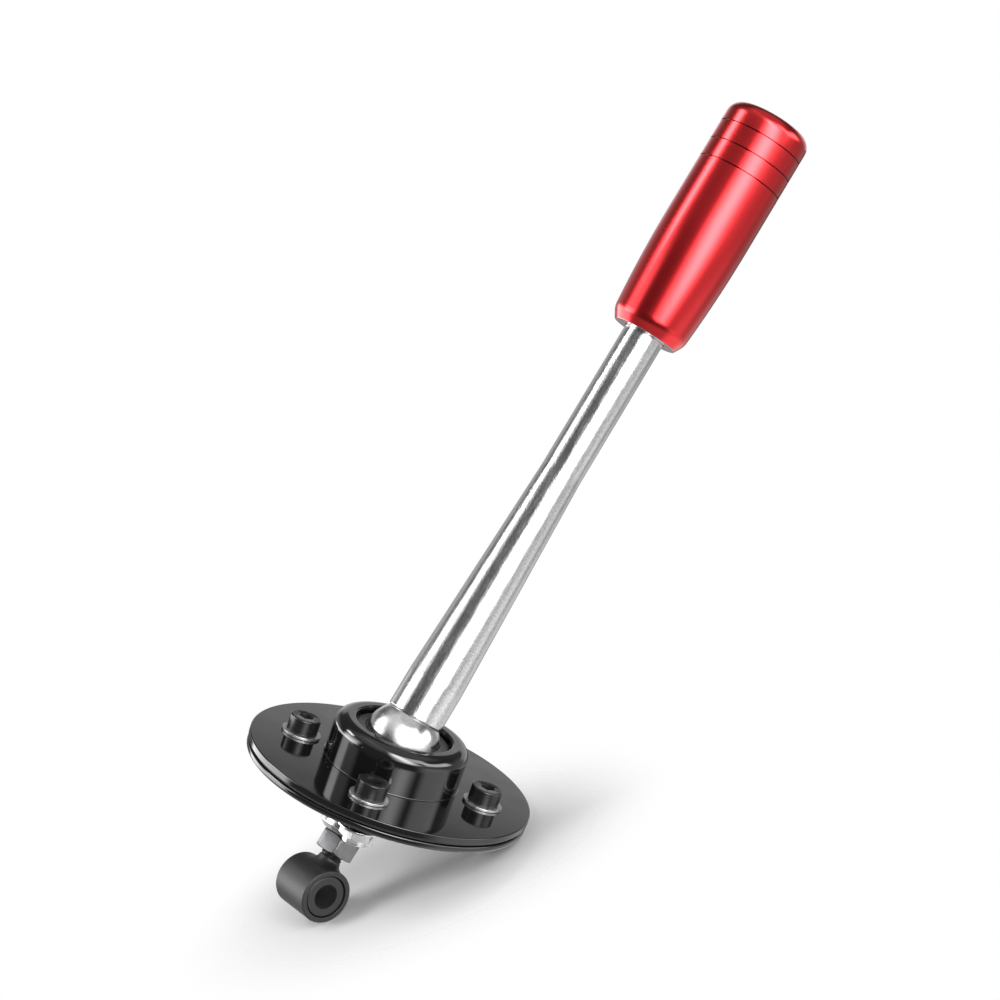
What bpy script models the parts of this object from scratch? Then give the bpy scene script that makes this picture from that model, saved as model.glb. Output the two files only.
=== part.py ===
# A ball-pivot gear shift lever: a tapered chrome shaft with a red grip on top, a chrome pivot ball held
# in a flanged round housing, and an eyelet with a bush below, where the shift rod is pinned on.
# Metres, +Z up. The origin is the centre of the base plate's underside, the face that lies on the floor
# panel. X is the line through the cross pin (side to side), and the lever leans towards +Y.

import math

import bmesh
import bpy
from mathutils import Matrix, Vector

MM = 0.001
GAP = 0.3 * MM                      # between two meshes that touch on the real object

# Round plates, seen from above
PLATE_RADIUS = 49.0 * MM
BASE_PLATE_THICKNESS = 2.4 * MM
BASE_PLATE_HOLE_RADIUS = 20.5 * MM
BASE_PLATE_EDGE_ROUND = 1.1 * MM
GASKET_THICKNESS = 0.4 * MM
GASKET_RADIUS = 48.2 * MM
GASKET_HOLE_RADIUS = 21.5 * MM
FLANGE_THICKNESS = 2.2 * MM
FLANGE_CHAMFER = 0.4 * MM

GASKET_BOTTOM = BASE_PLATE_THICKNESS + GAP
FLANGE_BOTTOM = GASKET_BOTTOM + GASKET_THICKNESS + GAP
FLANGE_TOP = FLANGE_BOTTOM + FLANGE_THICKNESS

# Pivot ball and the housing's cup around it
PIVOT_HEIGHT = 16.0 * MM
BALL_RADIUS = 13.0 * MM
CUP_RADIUS = 23.3 * MM
CUP_TOP = 20.4 * MM
CUP_RIM_ROUND = 3.9 * MM
CUP_BORE_RADIUS = 19.6 * MM
LIP_RADIUS = 16.8 * MM
LIP_UNDERSIDE = 17.6 * MM
LIP_INNER_ROUND = 0.5 * MM

# Seats, spring and circlip inside the housing
SEAT_SPHERE_RADIUS = BALL_RADIUS + GAP
SEAT_OUTER_RADIUS = CUP_BORE_RADIUS - GAP
UPPER_SEAT_NECK_RADIUS = 15.9 * MM
UPPER_SEAT_TOP = 18.4 * MM
LOWER_SEAT_BOTTOM = 8.0 * MM
LOWER_SEAT_BAND = 3.2 * MM          # height of the spherical band below the ball's equator
LOWER_SEAT_MOUTH_RADIUS = 16.4 * MM
CIRCLIP_BOTTOM = 3.9 * MM
CIRCLIP_THICKNESS = 1.0 * MM
CIRCLIP_INNER_RADIUS = 17.4 * MM
CIRCLIP_OUTER_RADIUS = 20.6 * MM
CIRCLIP_OPENING = 9.0 * MM
SPRING_INNER_RADIUS = 17.5 * MM
SPRING_OUTER_RADIUS = 19.2 * MM
SPRING_THICKNESS = 0.6 * MM
SPRING_WAVES = 4
SLOT_WIDTH = 2.7 * MM
SLOT_REACH = 14.6 * MM              # how far out from the ball's centre the pin's slots are cut
SLOT_HALF_HEIGHT = 3.5 * MM

# Screws through the plates
SCREW_CIRCLE_RADIUS = 32.6 * MM
SCREW_ANGLES = (45.0, 135.0, 225.0, 315.0)
SCREW_HOLE_RADIUS = 3.3 * MM
SCREW_SHANK_RADIUS = 2.9 * MM
SCREW_HEAD_RADIUS = 5.0 * MM
SCREW_HEAD_HEIGHT = 4.5 * MM
SCREW_TIP = -11.2 * MM
SOCKET_ACROSS_FLATS = 5.0 * MM
SOCKET_DEPTH = 2.6 * MM
WASHER_RADIUS = 6.7 * MM
WASHER_HOLE_RADIUS = 3.3 * MM
WASHER_THICKNESS = 1.2 * MM
WASHER_BOTTOM = FLANGE_TOP + GAP
SCREW_HEAD_BOTTOM = WASHER_BOTTOM + WASHER_THICKNESS + GAP

# Flange nuts below, which leave room for the floor panel
NUT_TOP = -4.3 * MM
NUT_HEIGHT = 6.3 * MM
NUT_ACROSS_FLATS = 10.0 * MM
NUT_FLANGE_RADIUS = 7.1 * MM
NUT_FLANGE_RIM = 0.9 * MM
NUT_BORE_RADIUS = 3.25 * MM

# Cross pin, along X through the ball. Its end towards -X stands out of the ball into the seats' slot.
PIN_RADIUS = 1.0 * MM
PIN_OUTER_END = -14.0 * MM
PIN_INNER_END = 11.0 * MM
PIN_HOLE_RADIUS = 1.3 * MM
PIN_HOLE_END = 11.3 * MM

# Lever: heights are measured from the ball's centre along the lever
SHAFT_LOWER_RADIUS = 9.88 * MM
SHAFT_UPPER_RADIUS = 7.2 * MM
TAPER_START = 22.5 * MM
TAPER_END = 104.0 * MM
SHAFT_SHOULDER = 163.0 * MM
SHAFT_STUD_RADIUS = 5.0 * MM
SHAFT_STUD_TOP = 190.0 * MM
SHAFT_BORE_RADIUS = 5.3 * MM
SHAFT_BORE_TOP = 24.0 * MM
BALL_SPIGOT_RADIUS = 5.0 * MM
BALL_SPIGOT_TOP = 22.0 * MM
SHANK_RADIUS = 9.75 * MM
SHANK_CHAMFER_START = -35.2 * MM
SHANK_END = -36.8 * MM
SHANK_END_RADIUS = 7.6 * MM
SHANK_BORE_RADIUS = 4.25 * MM
SHANK_BORE_TOP = -22.0 * MM

KNOB_BOTTOM = 158.2 * MM
KNOB_CHAMFER_TOP = 161.8 * MM
KNOB_BOTTOM_RADIUS = 11.5 * MM
KNOB_TAPER_END = 200.0 * MM
KNOB_TOP = 243.2 * MM
KNOB_RADIUS = 15.2 * MM
KNOB_LOWER_RADIUS = 13.55 * MM
KNOB_TOP_ROUND = 3.5 * MM
KNOB_GROOVES = (234.2 * MM, 227.2 * MM, 220.4 * MM)
KNOB_GROOVE_HALF_WIDTH = 0.32 * MM
KNOB_GROOVE_DEPTH = 0.4 * MM
KNOB_BORE_TOP = 192.0 * MM

LOCK_NUT_TOP = SHANK_END - GAP
LOCK_NUT_HEIGHT = 6.4 * MM
LOCK_NUT_ACROSS_FLATS = 13.0 * MM
LOCK_NUT_BORE_RADIUS = 4.25 * MM

EYELET_CENTRE = -56.5 * MM
EYELET_RADIUS = 9.2 * MM
EYELET_HALF_LENGTH = 8.8 * MM
EYELET_BORE_RADIUS = 7.35 * MM
EYELET_CHAMFER = 0.5 * MM
EYELET_STUD_RADIUS = 3.9 * MM
EYELET_STUD_TOP = -25.0 * MM
BUSH_RADIUS = 7.05 * MM
BUSH_HALF_LENGTH = 8.5 * MM
BUSH_BORE_RADIUS = 4.15 * MM
BUSH_CHAMFER = 0.4 * MM

# Where the lever stands at rest, in degrees: turned about Y to one side, then about the cross pin
REST_SELECT = -6.75
REST_SHIFT = -20.5

FINE_STEPS = 56
ROUND_STEPS = 40
SMALL_STEPS = 20
SHARP_ANGLE = math.radians(30)


def clear_scene():
    for thing in list(bpy.data.objects):
        bpy.data.objects.remove(thing)


def new_collection(name):
    collection = bpy.data.collections.new(name)
    bpy.context.scene.collection.children.link(collection)
    return collection


def make_material(name, colour, metallic, roughness):
    material = bpy.data.materials.new(name)
    material.use_nodes = True
    shader = material.node_tree.nodes["Principled BSDF"]
    shader.inputs["Base Color"].default_value = (*colour, 1.0)
    shader.inputs["Metallic"].default_value = metallic
    shader.inputs["Roughness"].default_value = roughness
    material.diffuse_color = (*colour, 1.0)
    return material


def add_object(name, mesh, collection):
    thing = bpy.data.objects.new(name, mesh)
    collection.objects.link(thing)
    return thing


def arc(centre_r, centre_z, radius, start, end, count):
    """Points of an arc in the (r, z) plane, angles in degrees from +r towards +z."""
    points = []
    for i in range(count + 1):
        angle = math.radians(start + (end - start) * i / count)
        points.append((centre_r + radius * math.cos(angle), centre_z + radius * math.sin(angle)))
    return points


def turned(name, profile, collection, steps, closed):
    """A solid of revolution about Z from (r, z) points that run down the outer side."""
    mesh = bpy.data.meshes.new(name)
    vertices = [(r, 0.0, z) for r, z in profile]
    edges = [(i, i + 1) for i in range(len(profile) - 1)]
    if closed:
        edges.append((len(profile) - 1, 0))
    mesh.from_pydata(vertices, edges, [])
    thing = add_object(name, mesh, collection)
    screw = thing.modifiers.new("turn", "SCREW")
    screw.axis = "Z"
    screw.angle = math.tau
    screw.steps = steps
    screw.render_steps = steps
    screw.use_merge_vertices = True
    screw.merge_threshold = 0.00001
    screw.use_smooth_shade = True
    return thing


def prism(name, segments, radius, bottom, top, collection, turn=0.0):
    """A straight prism or cylinder about Z between two heights."""
    mesh = bpy.data.meshes.new(name)
    shape = bmesh.new()
    bmesh.ops.create_cone(shape, cap_ends=True, segments=segments, radius1=radius, radius2=radius,
                          depth=top - bottom)
    bmesh.ops.rotate(shape, verts=shape.verts, matrix=Matrix.Rotation(turn, 3, "Z"))
    bmesh.ops.translate(shape, verts=shape.verts, vec=(0, 0, (top + bottom) / 2))
    shape.to_mesh(mesh)
    shape.free()
    return add_object(name, mesh, collection)


def block(name, low, high, collection):
    """A box between two corners."""
    mesh = bpy.data.meshes.new(name)
    size = Vector(high) - Vector(low)
    shape = bmesh.new()
    bmesh.ops.create_cube(shape, size=1.0)
    bmesh.ops.scale(shape, verts=shape.verts, vec=size)
    bmesh.ops.translate(shape, verts=shape.verts, vec=(Vector(high) + Vector(low)) / 2)
    shape.to_mesh(mesh)
    shape.free()
    return add_object(name, mesh, collection)


def as_cutter(thing):
    thing.hide_render = True
    thing.display_type = "WIRE"
    return thing


def combine(thing, other, operation):
    """A Boolean of another object on this one. The other one is kept as a hidden cutter."""
    modifier = thing.modifiers.new(operation.lower(), "BOOLEAN")
    modifier.operation = operation
    modifier.solver = "EXACT"
    modifier.object = as_cutter(other)
    return thing


def settle(thing):
    """Replaces an object's mesh by its evaluated one, smooth with sharp edges where it turns hard."""
    bpy.context.view_layer.update()
    graph = bpy.context.evaluated_depsgraph_get()
    mesh = bpy.data.meshes.new_from_object(thing.evaluated_get(graph))
    mesh.name = thing.name
    thing.modifiers.clear()
    thing.data = mesh
    mesh.shade_smooth()
    mesh.set_sharp_from_angle(angle=SHARP_ANGLE)
    return thing


def finish(thing, material):
    """Settles a piece, gives it its material and takes it into the part's collection."""
    settle(thing)
    thing.data.materials.clear()
    thing.data.materials.append(material)
    return thing


def screw_places():
    places = []
    for angle in SCREW_ANGLES:
        turn = math.radians(angle)
        places.append((SCREW_CIRCLE_RADIUS * math.cos(turn), SCREW_CIRCLE_RADIUS * math.sin(turn)))
    return places


def screw_hole_cutters(cutters, bottom, top):
    """One cylinder for each screw hole between two heights."""
    holes = []
    for number, (x, y) in enumerate(screw_places(), start=1):
        hole = prism(f"hole_cutter_{number}", SMALL_STEPS, SCREW_HOLE_RADIUS, bottom, top, cutters)
        hole.location = (x, y, 0)
        holes.append(as_cutter(hole))
    return holes


def drill_screw_holes(thing, cutters, bottom, top):
    for hole in screw_hole_cutters(cutters, bottom - 1 * MM, top + 1 * MM):
        combine(thing, hole, "DIFFERENCE")
    return thing


def ball_housing(parts, cutters, material):
    profile = [(LIP_RADIUS + LIP_INNER_ROUND, CUP_TOP)]
    profile += arc(CUP_RADIUS - CUP_RIM_ROUND, CUP_TOP - CUP_RIM_ROUND, CUP_RIM_ROUND, 90, 0, 7)
    profile += [
        (CUP_RADIUS, FLANGE_TOP),
        (PLATE_RADIUS - FLANGE_CHAMFER, FLANGE_TOP),
        (PLATE_RADIUS, FLANGE_TOP - FLANGE_CHAMFER),
        (PLATE_RADIUS, FLANGE_BOTTOM),
        (CUP_BORE_RADIUS, FLANGE_BOTTOM),
        (CUP_BORE_RADIUS, CIRCLIP_BOTTOM - GAP),
        (CIRCLIP_OUTER_RADIUS + GAP, CIRCLIP_BOTTOM - GAP),
        (CIRCLIP_OUTER_RADIUS + GAP, CIRCLIP_BOTTOM + CIRCLIP_THICKNESS + GAP),
        (CUP_BORE_RADIUS, CIRCLIP_BOTTOM + CIRCLIP_THICKNESS + GAP),
        (CUP_BORE_RADIUS, LIP_UNDERSIDE),
        (LIP_RADIUS, LIP_UNDERSIDE),
        (LIP_RADIUS, CUP_TOP - LIP_INNER_ROUND),
    ]
    housing = turned("ball_housing", profile, parts, FINE_STEPS, closed=True)
    drill_screw_holes(housing, cutters, FLANGE_BOTTOM, FLANGE_TOP)
    return finish(housing, material)


def gasket(parts, cutters, material):
    top = GASKET_BOTTOM + GASKET_THICKNESS
    profile = [
        (GASKET_RADIUS, top),
        (GASKET_RADIUS, GASKET_BOTTOM),
        (GASKET_HOLE_RADIUS, GASKET_BOTTOM),
        (GASKET_HOLE_RADIUS, top),
    ]
    ring = turned("gasket", profile, parts, FINE_STEPS, closed=True)
    drill_screw_holes(ring, cutters, GASKET_BOTTOM, top)
    return finish(ring, material)


def base_plate(parts, cutters, material):
    edge = BASE_PLATE_EDGE_ROUND
    profile = arc(PLATE_RADIUS - edge, BASE_PLATE_THICKNESS - edge, edge, 90, 0, 4)
    profile += arc(PLATE_RADIUS - edge, edge, edge, 0, -90, 4)
    profile += [(BASE_PLATE_HOLE_RADIUS, 0.0), (BASE_PLATE_HOLE_RADIUS, BASE_PLATE_THICKNESS)]
    plate = turned("base_plate", profile, parts, FINE_STEPS, closed=True)
    drill_screw_holes(plate, cutters, 0.0, BASE_PLATE_THICKNESS)
    return finish(plate, material)


def sphere_profile(radius, low, high, count):
    """(r, z) points on a sphere about the pivot between two heights, from low to high."""
    points = []
    for i in range(count + 1):
        z = low + (high - low) * i / count
        points.append((math.sqrt(radius ** 2 - (z - PIVOT_HEIGHT) ** 2), z))
    return points


def pin_slot_cutter(cutters):
    """A box for the slot that the cross pin's outer end moves up and down in."""
    low = (-SLOT_REACH, -SLOT_WIDTH / 2, PIVOT_HEIGHT - SLOT_HALF_HEIGHT)
    high = (-BALL_RADIUS + 2 * MM, SLOT_WIDTH / 2, PIVOT_HEIGHT + SLOT_HALF_HEIGHT)
    return as_cutter(block("slot_cutter", low, high, cutters))


def upper_seat(parts, cutters, material):
    bottom = PIVOT_HEIGHT + GAP / 2
    shoulder = LIP_UNDERSIDE - GAP
    profile = [
        (UPPER_SEAT_NECK_RADIUS, UPPER_SEAT_TOP),
        (UPPER_SEAT_NECK_RADIUS, shoulder),
        (SEAT_OUTER_RADIUS, shoulder),
        (SEAT_OUTER_RADIUS, bottom),
    ]
    profile += sphere_profile(SEAT_SPHERE_RADIUS, bottom, UPPER_SEAT_TOP, 4)
    seat = turned("upper_seat", profile, parts, ROUND_STEPS, closed=True)
    combine(seat, pin_slot_cutter(cutters), "DIFFERENCE")
    return finish(seat, material)


def lower_seat(parts, cutters, material):
    top = PIVOT_HEIGHT - GAP / 2
    profile = [
        (SEAT_OUTER_RADIUS, top),
        (SEAT_OUTER_RADIUS, LOWER_SEAT_BOTTOM),
        (LOWER_SEAT_MOUTH_RADIUS, LOWER_SEAT_BOTTOM),
    ]
    profile += sphere_profile(SEAT_SPHERE_RADIUS, PIVOT_HEIGHT - LOWER_SEAT_BAND, top, 5)
    seat = turned("lower_seat", profile, parts, ROUND_STEPS, closed=True)
    combine(seat, pin_slot_cutter(cutters), "DIFFERENCE")
    return finish(seat, material)


def wave_spring(parts, material):
    """A flat ring bent into waves, between the circlip and the lower seat."""
    bottom = CIRCLIP_BOTTOM + CIRCLIP_THICKNESS + GAP
    top = LOWER_SEAT_BOTTOM - GAP
    middle = (top + bottom) / 2
    lift = (top - bottom - SPRING_THICKNESS) / 2
    count = 96
    shape = bmesh.new()
    rings = []
    for radius in (SPRING_INNER_RADIUS, SPRING_OUTER_RADIUS):
        ring = []
        for i in range(count):
            turn = math.tau * i / count
            z = middle + lift * math.cos(SPRING_WAVES * turn)
            ring.append(shape.verts.new((radius * math.cos(turn), radius * math.sin(turn), z)))
        rings.append(ring)
    for i in range(count):
        after = (i + 1) % count
        shape.faces.new((rings[0][i], rings[1][i], rings[1][after], rings[0][after]))
    mesh = bpy.data.meshes.new("wave_spring")
    shape.to_mesh(mesh)
    shape.free()
    spring = add_object("wave_spring", mesh, parts)
    thick = spring.modifiers.new("thickness", "SOLIDIFY")
    thick.thickness = SPRING_THICKNESS
    thick.offset = 0.0
    return finish(spring, material)


def circlip(parts, cutters, material):
    """The snap ring in the housing's groove, open on the side towards -Y."""
    top = CIRCLIP_BOTTOM + CIRCLIP_THICKNESS
    profile = [
        (CIRCLIP_OUTER_RADIUS, top),
        (CIRCLIP_OUTER_RADIUS, CIRCLIP_BOTTOM),
        (CIRCLIP_INNER_RADIUS, CIRCLIP_BOTTOM),
        (CIRCLIP_INNER_RADIUS, top),
    ]
    ring = turned("circlip", profile, parts, ROUND_STEPS, closed=True)
    low = (-CIRCLIP_OPENING / 2, -CIRCLIP_OUTER_RADIUS - 1 * MM, CIRCLIP_BOTTOM - 1 * MM)
    high = (CIRCLIP_OPENING / 2, -CIRCLIP_INNER_RADIUS + 3 * MM, top + 1 * MM)
    combine(ring, block("circlip_opening_cutter", low, high, cutters), "DIFFERENCE")
    return finish(ring, material)


def socket_screw_mesh(parts, cutters):
    head_top = SCREW_HEAD_BOTTOM + SCREW_HEAD_HEIGHT
    edge = 0.4 * MM
    profile = [
        (0.0, head_top),
        (SCREW_HEAD_RADIUS - edge, head_top),
        (SCREW_HEAD_RADIUS, head_top - edge),
        (SCREW_HEAD_RADIUS, SCREW_HEAD_BOTTOM),
        (SCREW_SHANK_RADIUS, SCREW_HEAD_BOTTOM),
        (SCREW_SHANK_RADIUS, SCREW_TIP + edge),
        (SCREW_SHANK_RADIUS - edge, SCREW_TIP),
        (0.0, SCREW_TIP),
    ]
    screw = turned("socket_screw", profile, parts, SMALL_STEPS, closed=False)
    corner = SOCKET_ACROSS_FLATS / 2 / math.cos(math.radians(30))
    socket = prism("socket_cutter", 6, corner, head_top - SOCKET_DEPTH, head_top + 1 * MM, cutters)
    combine(screw, socket, "DIFFERENCE")
    return settle(screw)


def washer_mesh(parts):
    top = WASHER_BOTTOM + WASHER_THICKNESS
    edge = 0.3 * MM
    profile = [
        (WASHER_RADIUS - edge, top),
        (WASHER_RADIUS, top - edge),
        (WASHER_RADIUS, WASHER_BOTTOM + edge),
        (WASHER_RADIUS - edge, WASHER_BOTTOM),
        (WASHER_HOLE_RADIUS, WASHER_BOTTOM),
        (WASHER_HOLE_RADIUS, top),
    ]
    return settle(turned("washer", profile, parts, SMALL_STEPS, closed=True))


def hex_blank(name, across_flats, bottom, top, collection, cutters, chamfer_ends):
    """A hexagon with its corners turned off at the named ends, as on a nut."""
    corner = across_flats / 2 / math.cos(math.radians(30))
    drop = (corner - across_flats / 2 * 0.97) * math.tan(math.radians(30))
    face = across_flats / 2 * 0.97
    beyond = corner + 0.5 * MM
    slope = drop + 0.5 * MM * math.tan(math.radians(30))
    outline = [(0.0, top)]
    if "top" in chamfer_ends:
        outline += [(face, top), (beyond, top - slope)]
    else:
        outline += [(beyond, top)]
    if "bottom" in chamfer_ends:
        outline += [(beyond, bottom + slope), (face, bottom)]
    else:
        outline += [(beyond, bottom)]
    outline.append((0.0, bottom))
    blank = prism(name, 6, corner, bottom - 0.2 * MM, top + 0.2 * MM, collection, math.radians(30))
    combine(blank, turned(f"{name}_corner_cutter", outline, cutters, ROUND_STEPS, closed=False), "INTERSECT")
    return blank


def flange_nut_mesh(parts, cutters):
    bottom = NUT_TOP - NUT_HEIGHT
    nut = hex_blank("flange_nut", NUT_ACROSS_FLATS, bottom, NUT_TOP - 0.5 * MM, parts, cutters, ("bottom",))
    cone = [
        (0.0, NUT_TOP),
        (NUT_FLANGE_RADIUS, NUT_TOP),
        (NUT_FLANGE_RADIUS, NUT_TOP - NUT_FLANGE_RIM),
        (NUT_ACROSS_FLATS / 2 * 0.98, NUT_TOP - 2.3 * MM),
        (0.0, NUT_TOP - 2.3 * MM),
    ]
    combine(nut, turned("nut_flange_body", cone, cutters, ROUND_STEPS, closed=False), "UNION")
    bore = prism("nut_bore_cutter", SMALL_STEPS, NUT_BORE_RADIUS, bottom - 1 * MM, NUT_TOP + 1 * MM, cutters)
    combine(nut, bore, "DIFFERENCE")
    return settle(nut)


def copies_on_screws(pattern, name, parts, material):
    """Four objects that share the pattern's mesh, one on each screw's axis. The pattern itself goes."""
    pattern.data.materials.clear()
    pattern.data.materials.append(material)
    mesh = pattern.data
    bpy.data.objects.remove(pattern)
    for number, (x, y) in enumerate(screw_places(), start=1):
        copy = add_object(f"{name}_{number}", mesh, parts)
        copy.location = (x, y, 0)


def cross_pin(parts, material):
    edge = 0.3 * MM
    profile = [
        (0.0, PIN_INNER_END),
        (PIN_RADIUS - edge, PIN_INNER_END),
        (PIN_RADIUS, PIN_INNER_END - edge),
        (PIN_RADIUS, PIN_OUTER_END + edge),
        (PIN_RADIUS - edge, PIN_OUTER_END),
        (0.0, PIN_OUTER_END),
    ]
    pin = turned("cross_pin", profile, parts, SMALL_STEPS, closed=False)
    finish(pin, material)
    pin.data.transform(Matrix.Rotation(math.radians(90), 4, "Y"))
    return pin


def pivot_ball(parts, cutters, material):
    """The ball with its threaded spigot above and the shank below, turned from one bar."""
    spigot_foot = math.sqrt(BALL_RADIUS ** 2 - BALL_SPIGOT_RADIUS ** 2)
    start = math.degrees(math.atan2(spigot_foot, BALL_SPIGOT_RADIUS))
    end = -math.degrees(math.acos(SHANK_RADIUS / BALL_RADIUS))
    profile = [(0.0, BALL_SPIGOT_TOP), (BALL_SPIGOT_RADIUS, BALL_SPIGOT_TOP)]
    profile += arc(0.0, 0.0, BALL_RADIUS, start, end, 16)
    profile += [
        (SHANK_RADIUS, SHANK_CHAMFER_START),
        (SHANK_END_RADIUS, SHANK_END),
        (SHANK_BORE_RADIUS, SHANK_END),
        (SHANK_BORE_RADIUS, SHANK_BORE_TOP),
        (0.0, SHANK_BORE_TOP + 2.4 * MM),
    ]
    ball = turned("pivot_ball", profile, parts, ROUND_STEPS, closed=False)
    hole = prism("pin_hole_cutter", SMALL_STEPS, PIN_HOLE_RADIUS, -BALL_RADIUS - 2 * MM, PIN_HOLE_END, cutters)
    hole.rotation_euler = (0, math.radians(90), 0)
    combine(ball, hole, "DIFFERENCE")
    return finish(ball, material)


def lever_shaft(parts, material):
    """Straight above the ball, then tapered, then straight up into the grip."""
    seat_radius = BALL_RADIUS + GAP
    start = math.degrees(math.acos(SHAFT_LOWER_RADIUS / seat_radius))
    end = math.degrees(math.acos(SHAFT_BORE_RADIUS / seat_radius))
    edge = 0.4 * MM
    profile = [
        (0.0, SHAFT_STUD_TOP),
        (SHAFT_STUD_RADIUS - edge, SHAFT_STUD_TOP),
        (SHAFT_STUD_RADIUS, SHAFT_STUD_TOP - edge),
        (SHAFT_STUD_RADIUS, SHAFT_SHOULDER),
        (SHAFT_UPPER_RADIUS - edge, SHAFT_SHOULDER),
        (SHAFT_UPPER_RADIUS, SHAFT_SHOULDER - edge),
        (SHAFT_UPPER_RADIUS, TAPER_END),
        (SHAFT_LOWER_RADIUS, TAPER_START),
    ]
    profile += arc(0.0, 0.0, seat_radius, start, end, 4)
    profile += [(SHAFT_BORE_RADIUS, SHAFT_BORE_TOP), (0.0, SHAFT_BORE_TOP + 3 * MM)]
    return finish(turned("lever_shaft", profile, parts, ROUND_STEPS, closed=False), material)


def knob_radius(height):
    """The grip's side: straight above KNOB_TAPER_END and a long even curve inwards below it."""
    below = max(0.0, KNOB_TAPER_END - height) / (KNOB_TAPER_END - KNOB_CHAMFER_TOP)
    return KNOB_RADIUS - (KNOB_RADIUS - KNOB_LOWER_RADIUS) * below ** 2


def knob(parts, material):
    profile = [(0.0, KNOB_TOP)]
    profile += arc(KNOB_RADIUS - KNOB_TOP_ROUND, KNOB_TOP - KNOB_TOP_ROUND, KNOB_TOP_ROUND, 90, 0, 6)
    for height in KNOB_GROOVES:
        profile += [
            (KNOB_RADIUS, height + KNOB_GROOVE_HALF_WIDTH),
            (KNOB_RADIUS - KNOB_GROOVE_DEPTH, height),
            (KNOB_RADIUS, height - KNOB_GROOVE_HALF_WIDTH),
        ]
    curve_steps = 8
    for i in range(curve_steps + 1):
        height = KNOB_TAPER_END + (KNOB_CHAMFER_TOP - KNOB_TAPER_END) * i / curve_steps
        profile.append((knob_radius(height), height))
    profile += [
        (KNOB_BOTTOM_RADIUS, KNOB_BOTTOM),
        (SHAFT_UPPER_RADIUS + GAP, KNOB_BOTTOM),
        (SHAFT_UPPER_RADIUS + GAP, SHAFT_SHOULDER + GAP),
        (SHAFT_STUD_RADIUS + GAP, SHAFT_SHOULDER + GAP),
        (SHAFT_STUD_RADIUS + GAP, KNOB_BORE_TOP),
        (0.0, KNOB_BORE_TOP + 3 * MM),
    ]
    return finish(turned("knob", profile, parts, ROUND_STEPS, closed=False), material)


def lock_nut(parts, cutters, material):
    bottom = LOCK_NUT_TOP - LOCK_NUT_HEIGHT
    nut = hex_blank("lock_nut", LOCK_NUT_ACROSS_FLATS, bottom, LOCK_NUT_TOP, parts, cutters, ("top", "bottom"))
    bore = prism("lock_nut_bore_cutter", SMALL_STEPS, LOCK_NUT_BORE_RADIUS, bottom - 1 * MM,
                 LOCK_NUT_TOP + 1 * MM, cutters)
    combine(nut, bore, "DIFFERENCE")
    return finish(nut, material)


def sleeve_along_x(name, outer, inner, half_length, chamfer, collection):
    """A tube about Z with chamfered outer edges, laid along X afterwards by lay_along_x."""
    profile = [
        (outer - chamfer, half_length),
        (outer, half_length - chamfer),
        (outer, -half_length + chamfer),
        (outer - chamfer, -half_length),
        (inner, -half_length),
        (inner, half_length),
    ]
    return turned(name, profile, collection, ROUND_STEPS, closed=True)


def lay_along_x(thing, height):
    """Turns a settled mesh from Z to X and puts its middle at a height on the lever."""
    thing.data.transform(Matrix.Translation((0, 0, height)) @ Matrix.Rotation(math.radians(90), 4, "Y"))
    return thing


def eyelet(parts, cutters, material):
    barrel = sleeve_along_x("eyelet", EYELET_RADIUS, EYELET_BORE_RADIUS, EYELET_HALF_LENGTH,
                            EYELET_CHAMFER, parts)
    lay_along_x(settle(barrel), EYELET_CENTRE)
    inside_wall = EYELET_CENTRE + (EYELET_RADIUS + EYELET_BORE_RADIUS) / 2
    stud = prism("eyelet_stud_body", SMALL_STEPS, EYELET_STUD_RADIUS, inside_wall, EYELET_STUD_TOP, cutters)
    combine(barrel, stud, "UNION")
    return finish(barrel, material)


def eyelet_bush(parts, material):
    bush = sleeve_along_x("eyelet_bush", BUSH_RADIUS, BUSH_BORE_RADIUS, BUSH_HALF_LENGTH, BUSH_CHAMFER, parts)
    finish(bush, material)
    return lay_along_x(bush, EYELET_CENTRE)


def pivot_empty(name, collection, parent, location, rotation):
    empty = bpy.data.objects.new(name, None)
    collection.objects.link(empty)
    empty.parent = parent
    empty.location = location
    empty.rotation_euler = rotation
    return empty


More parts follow.
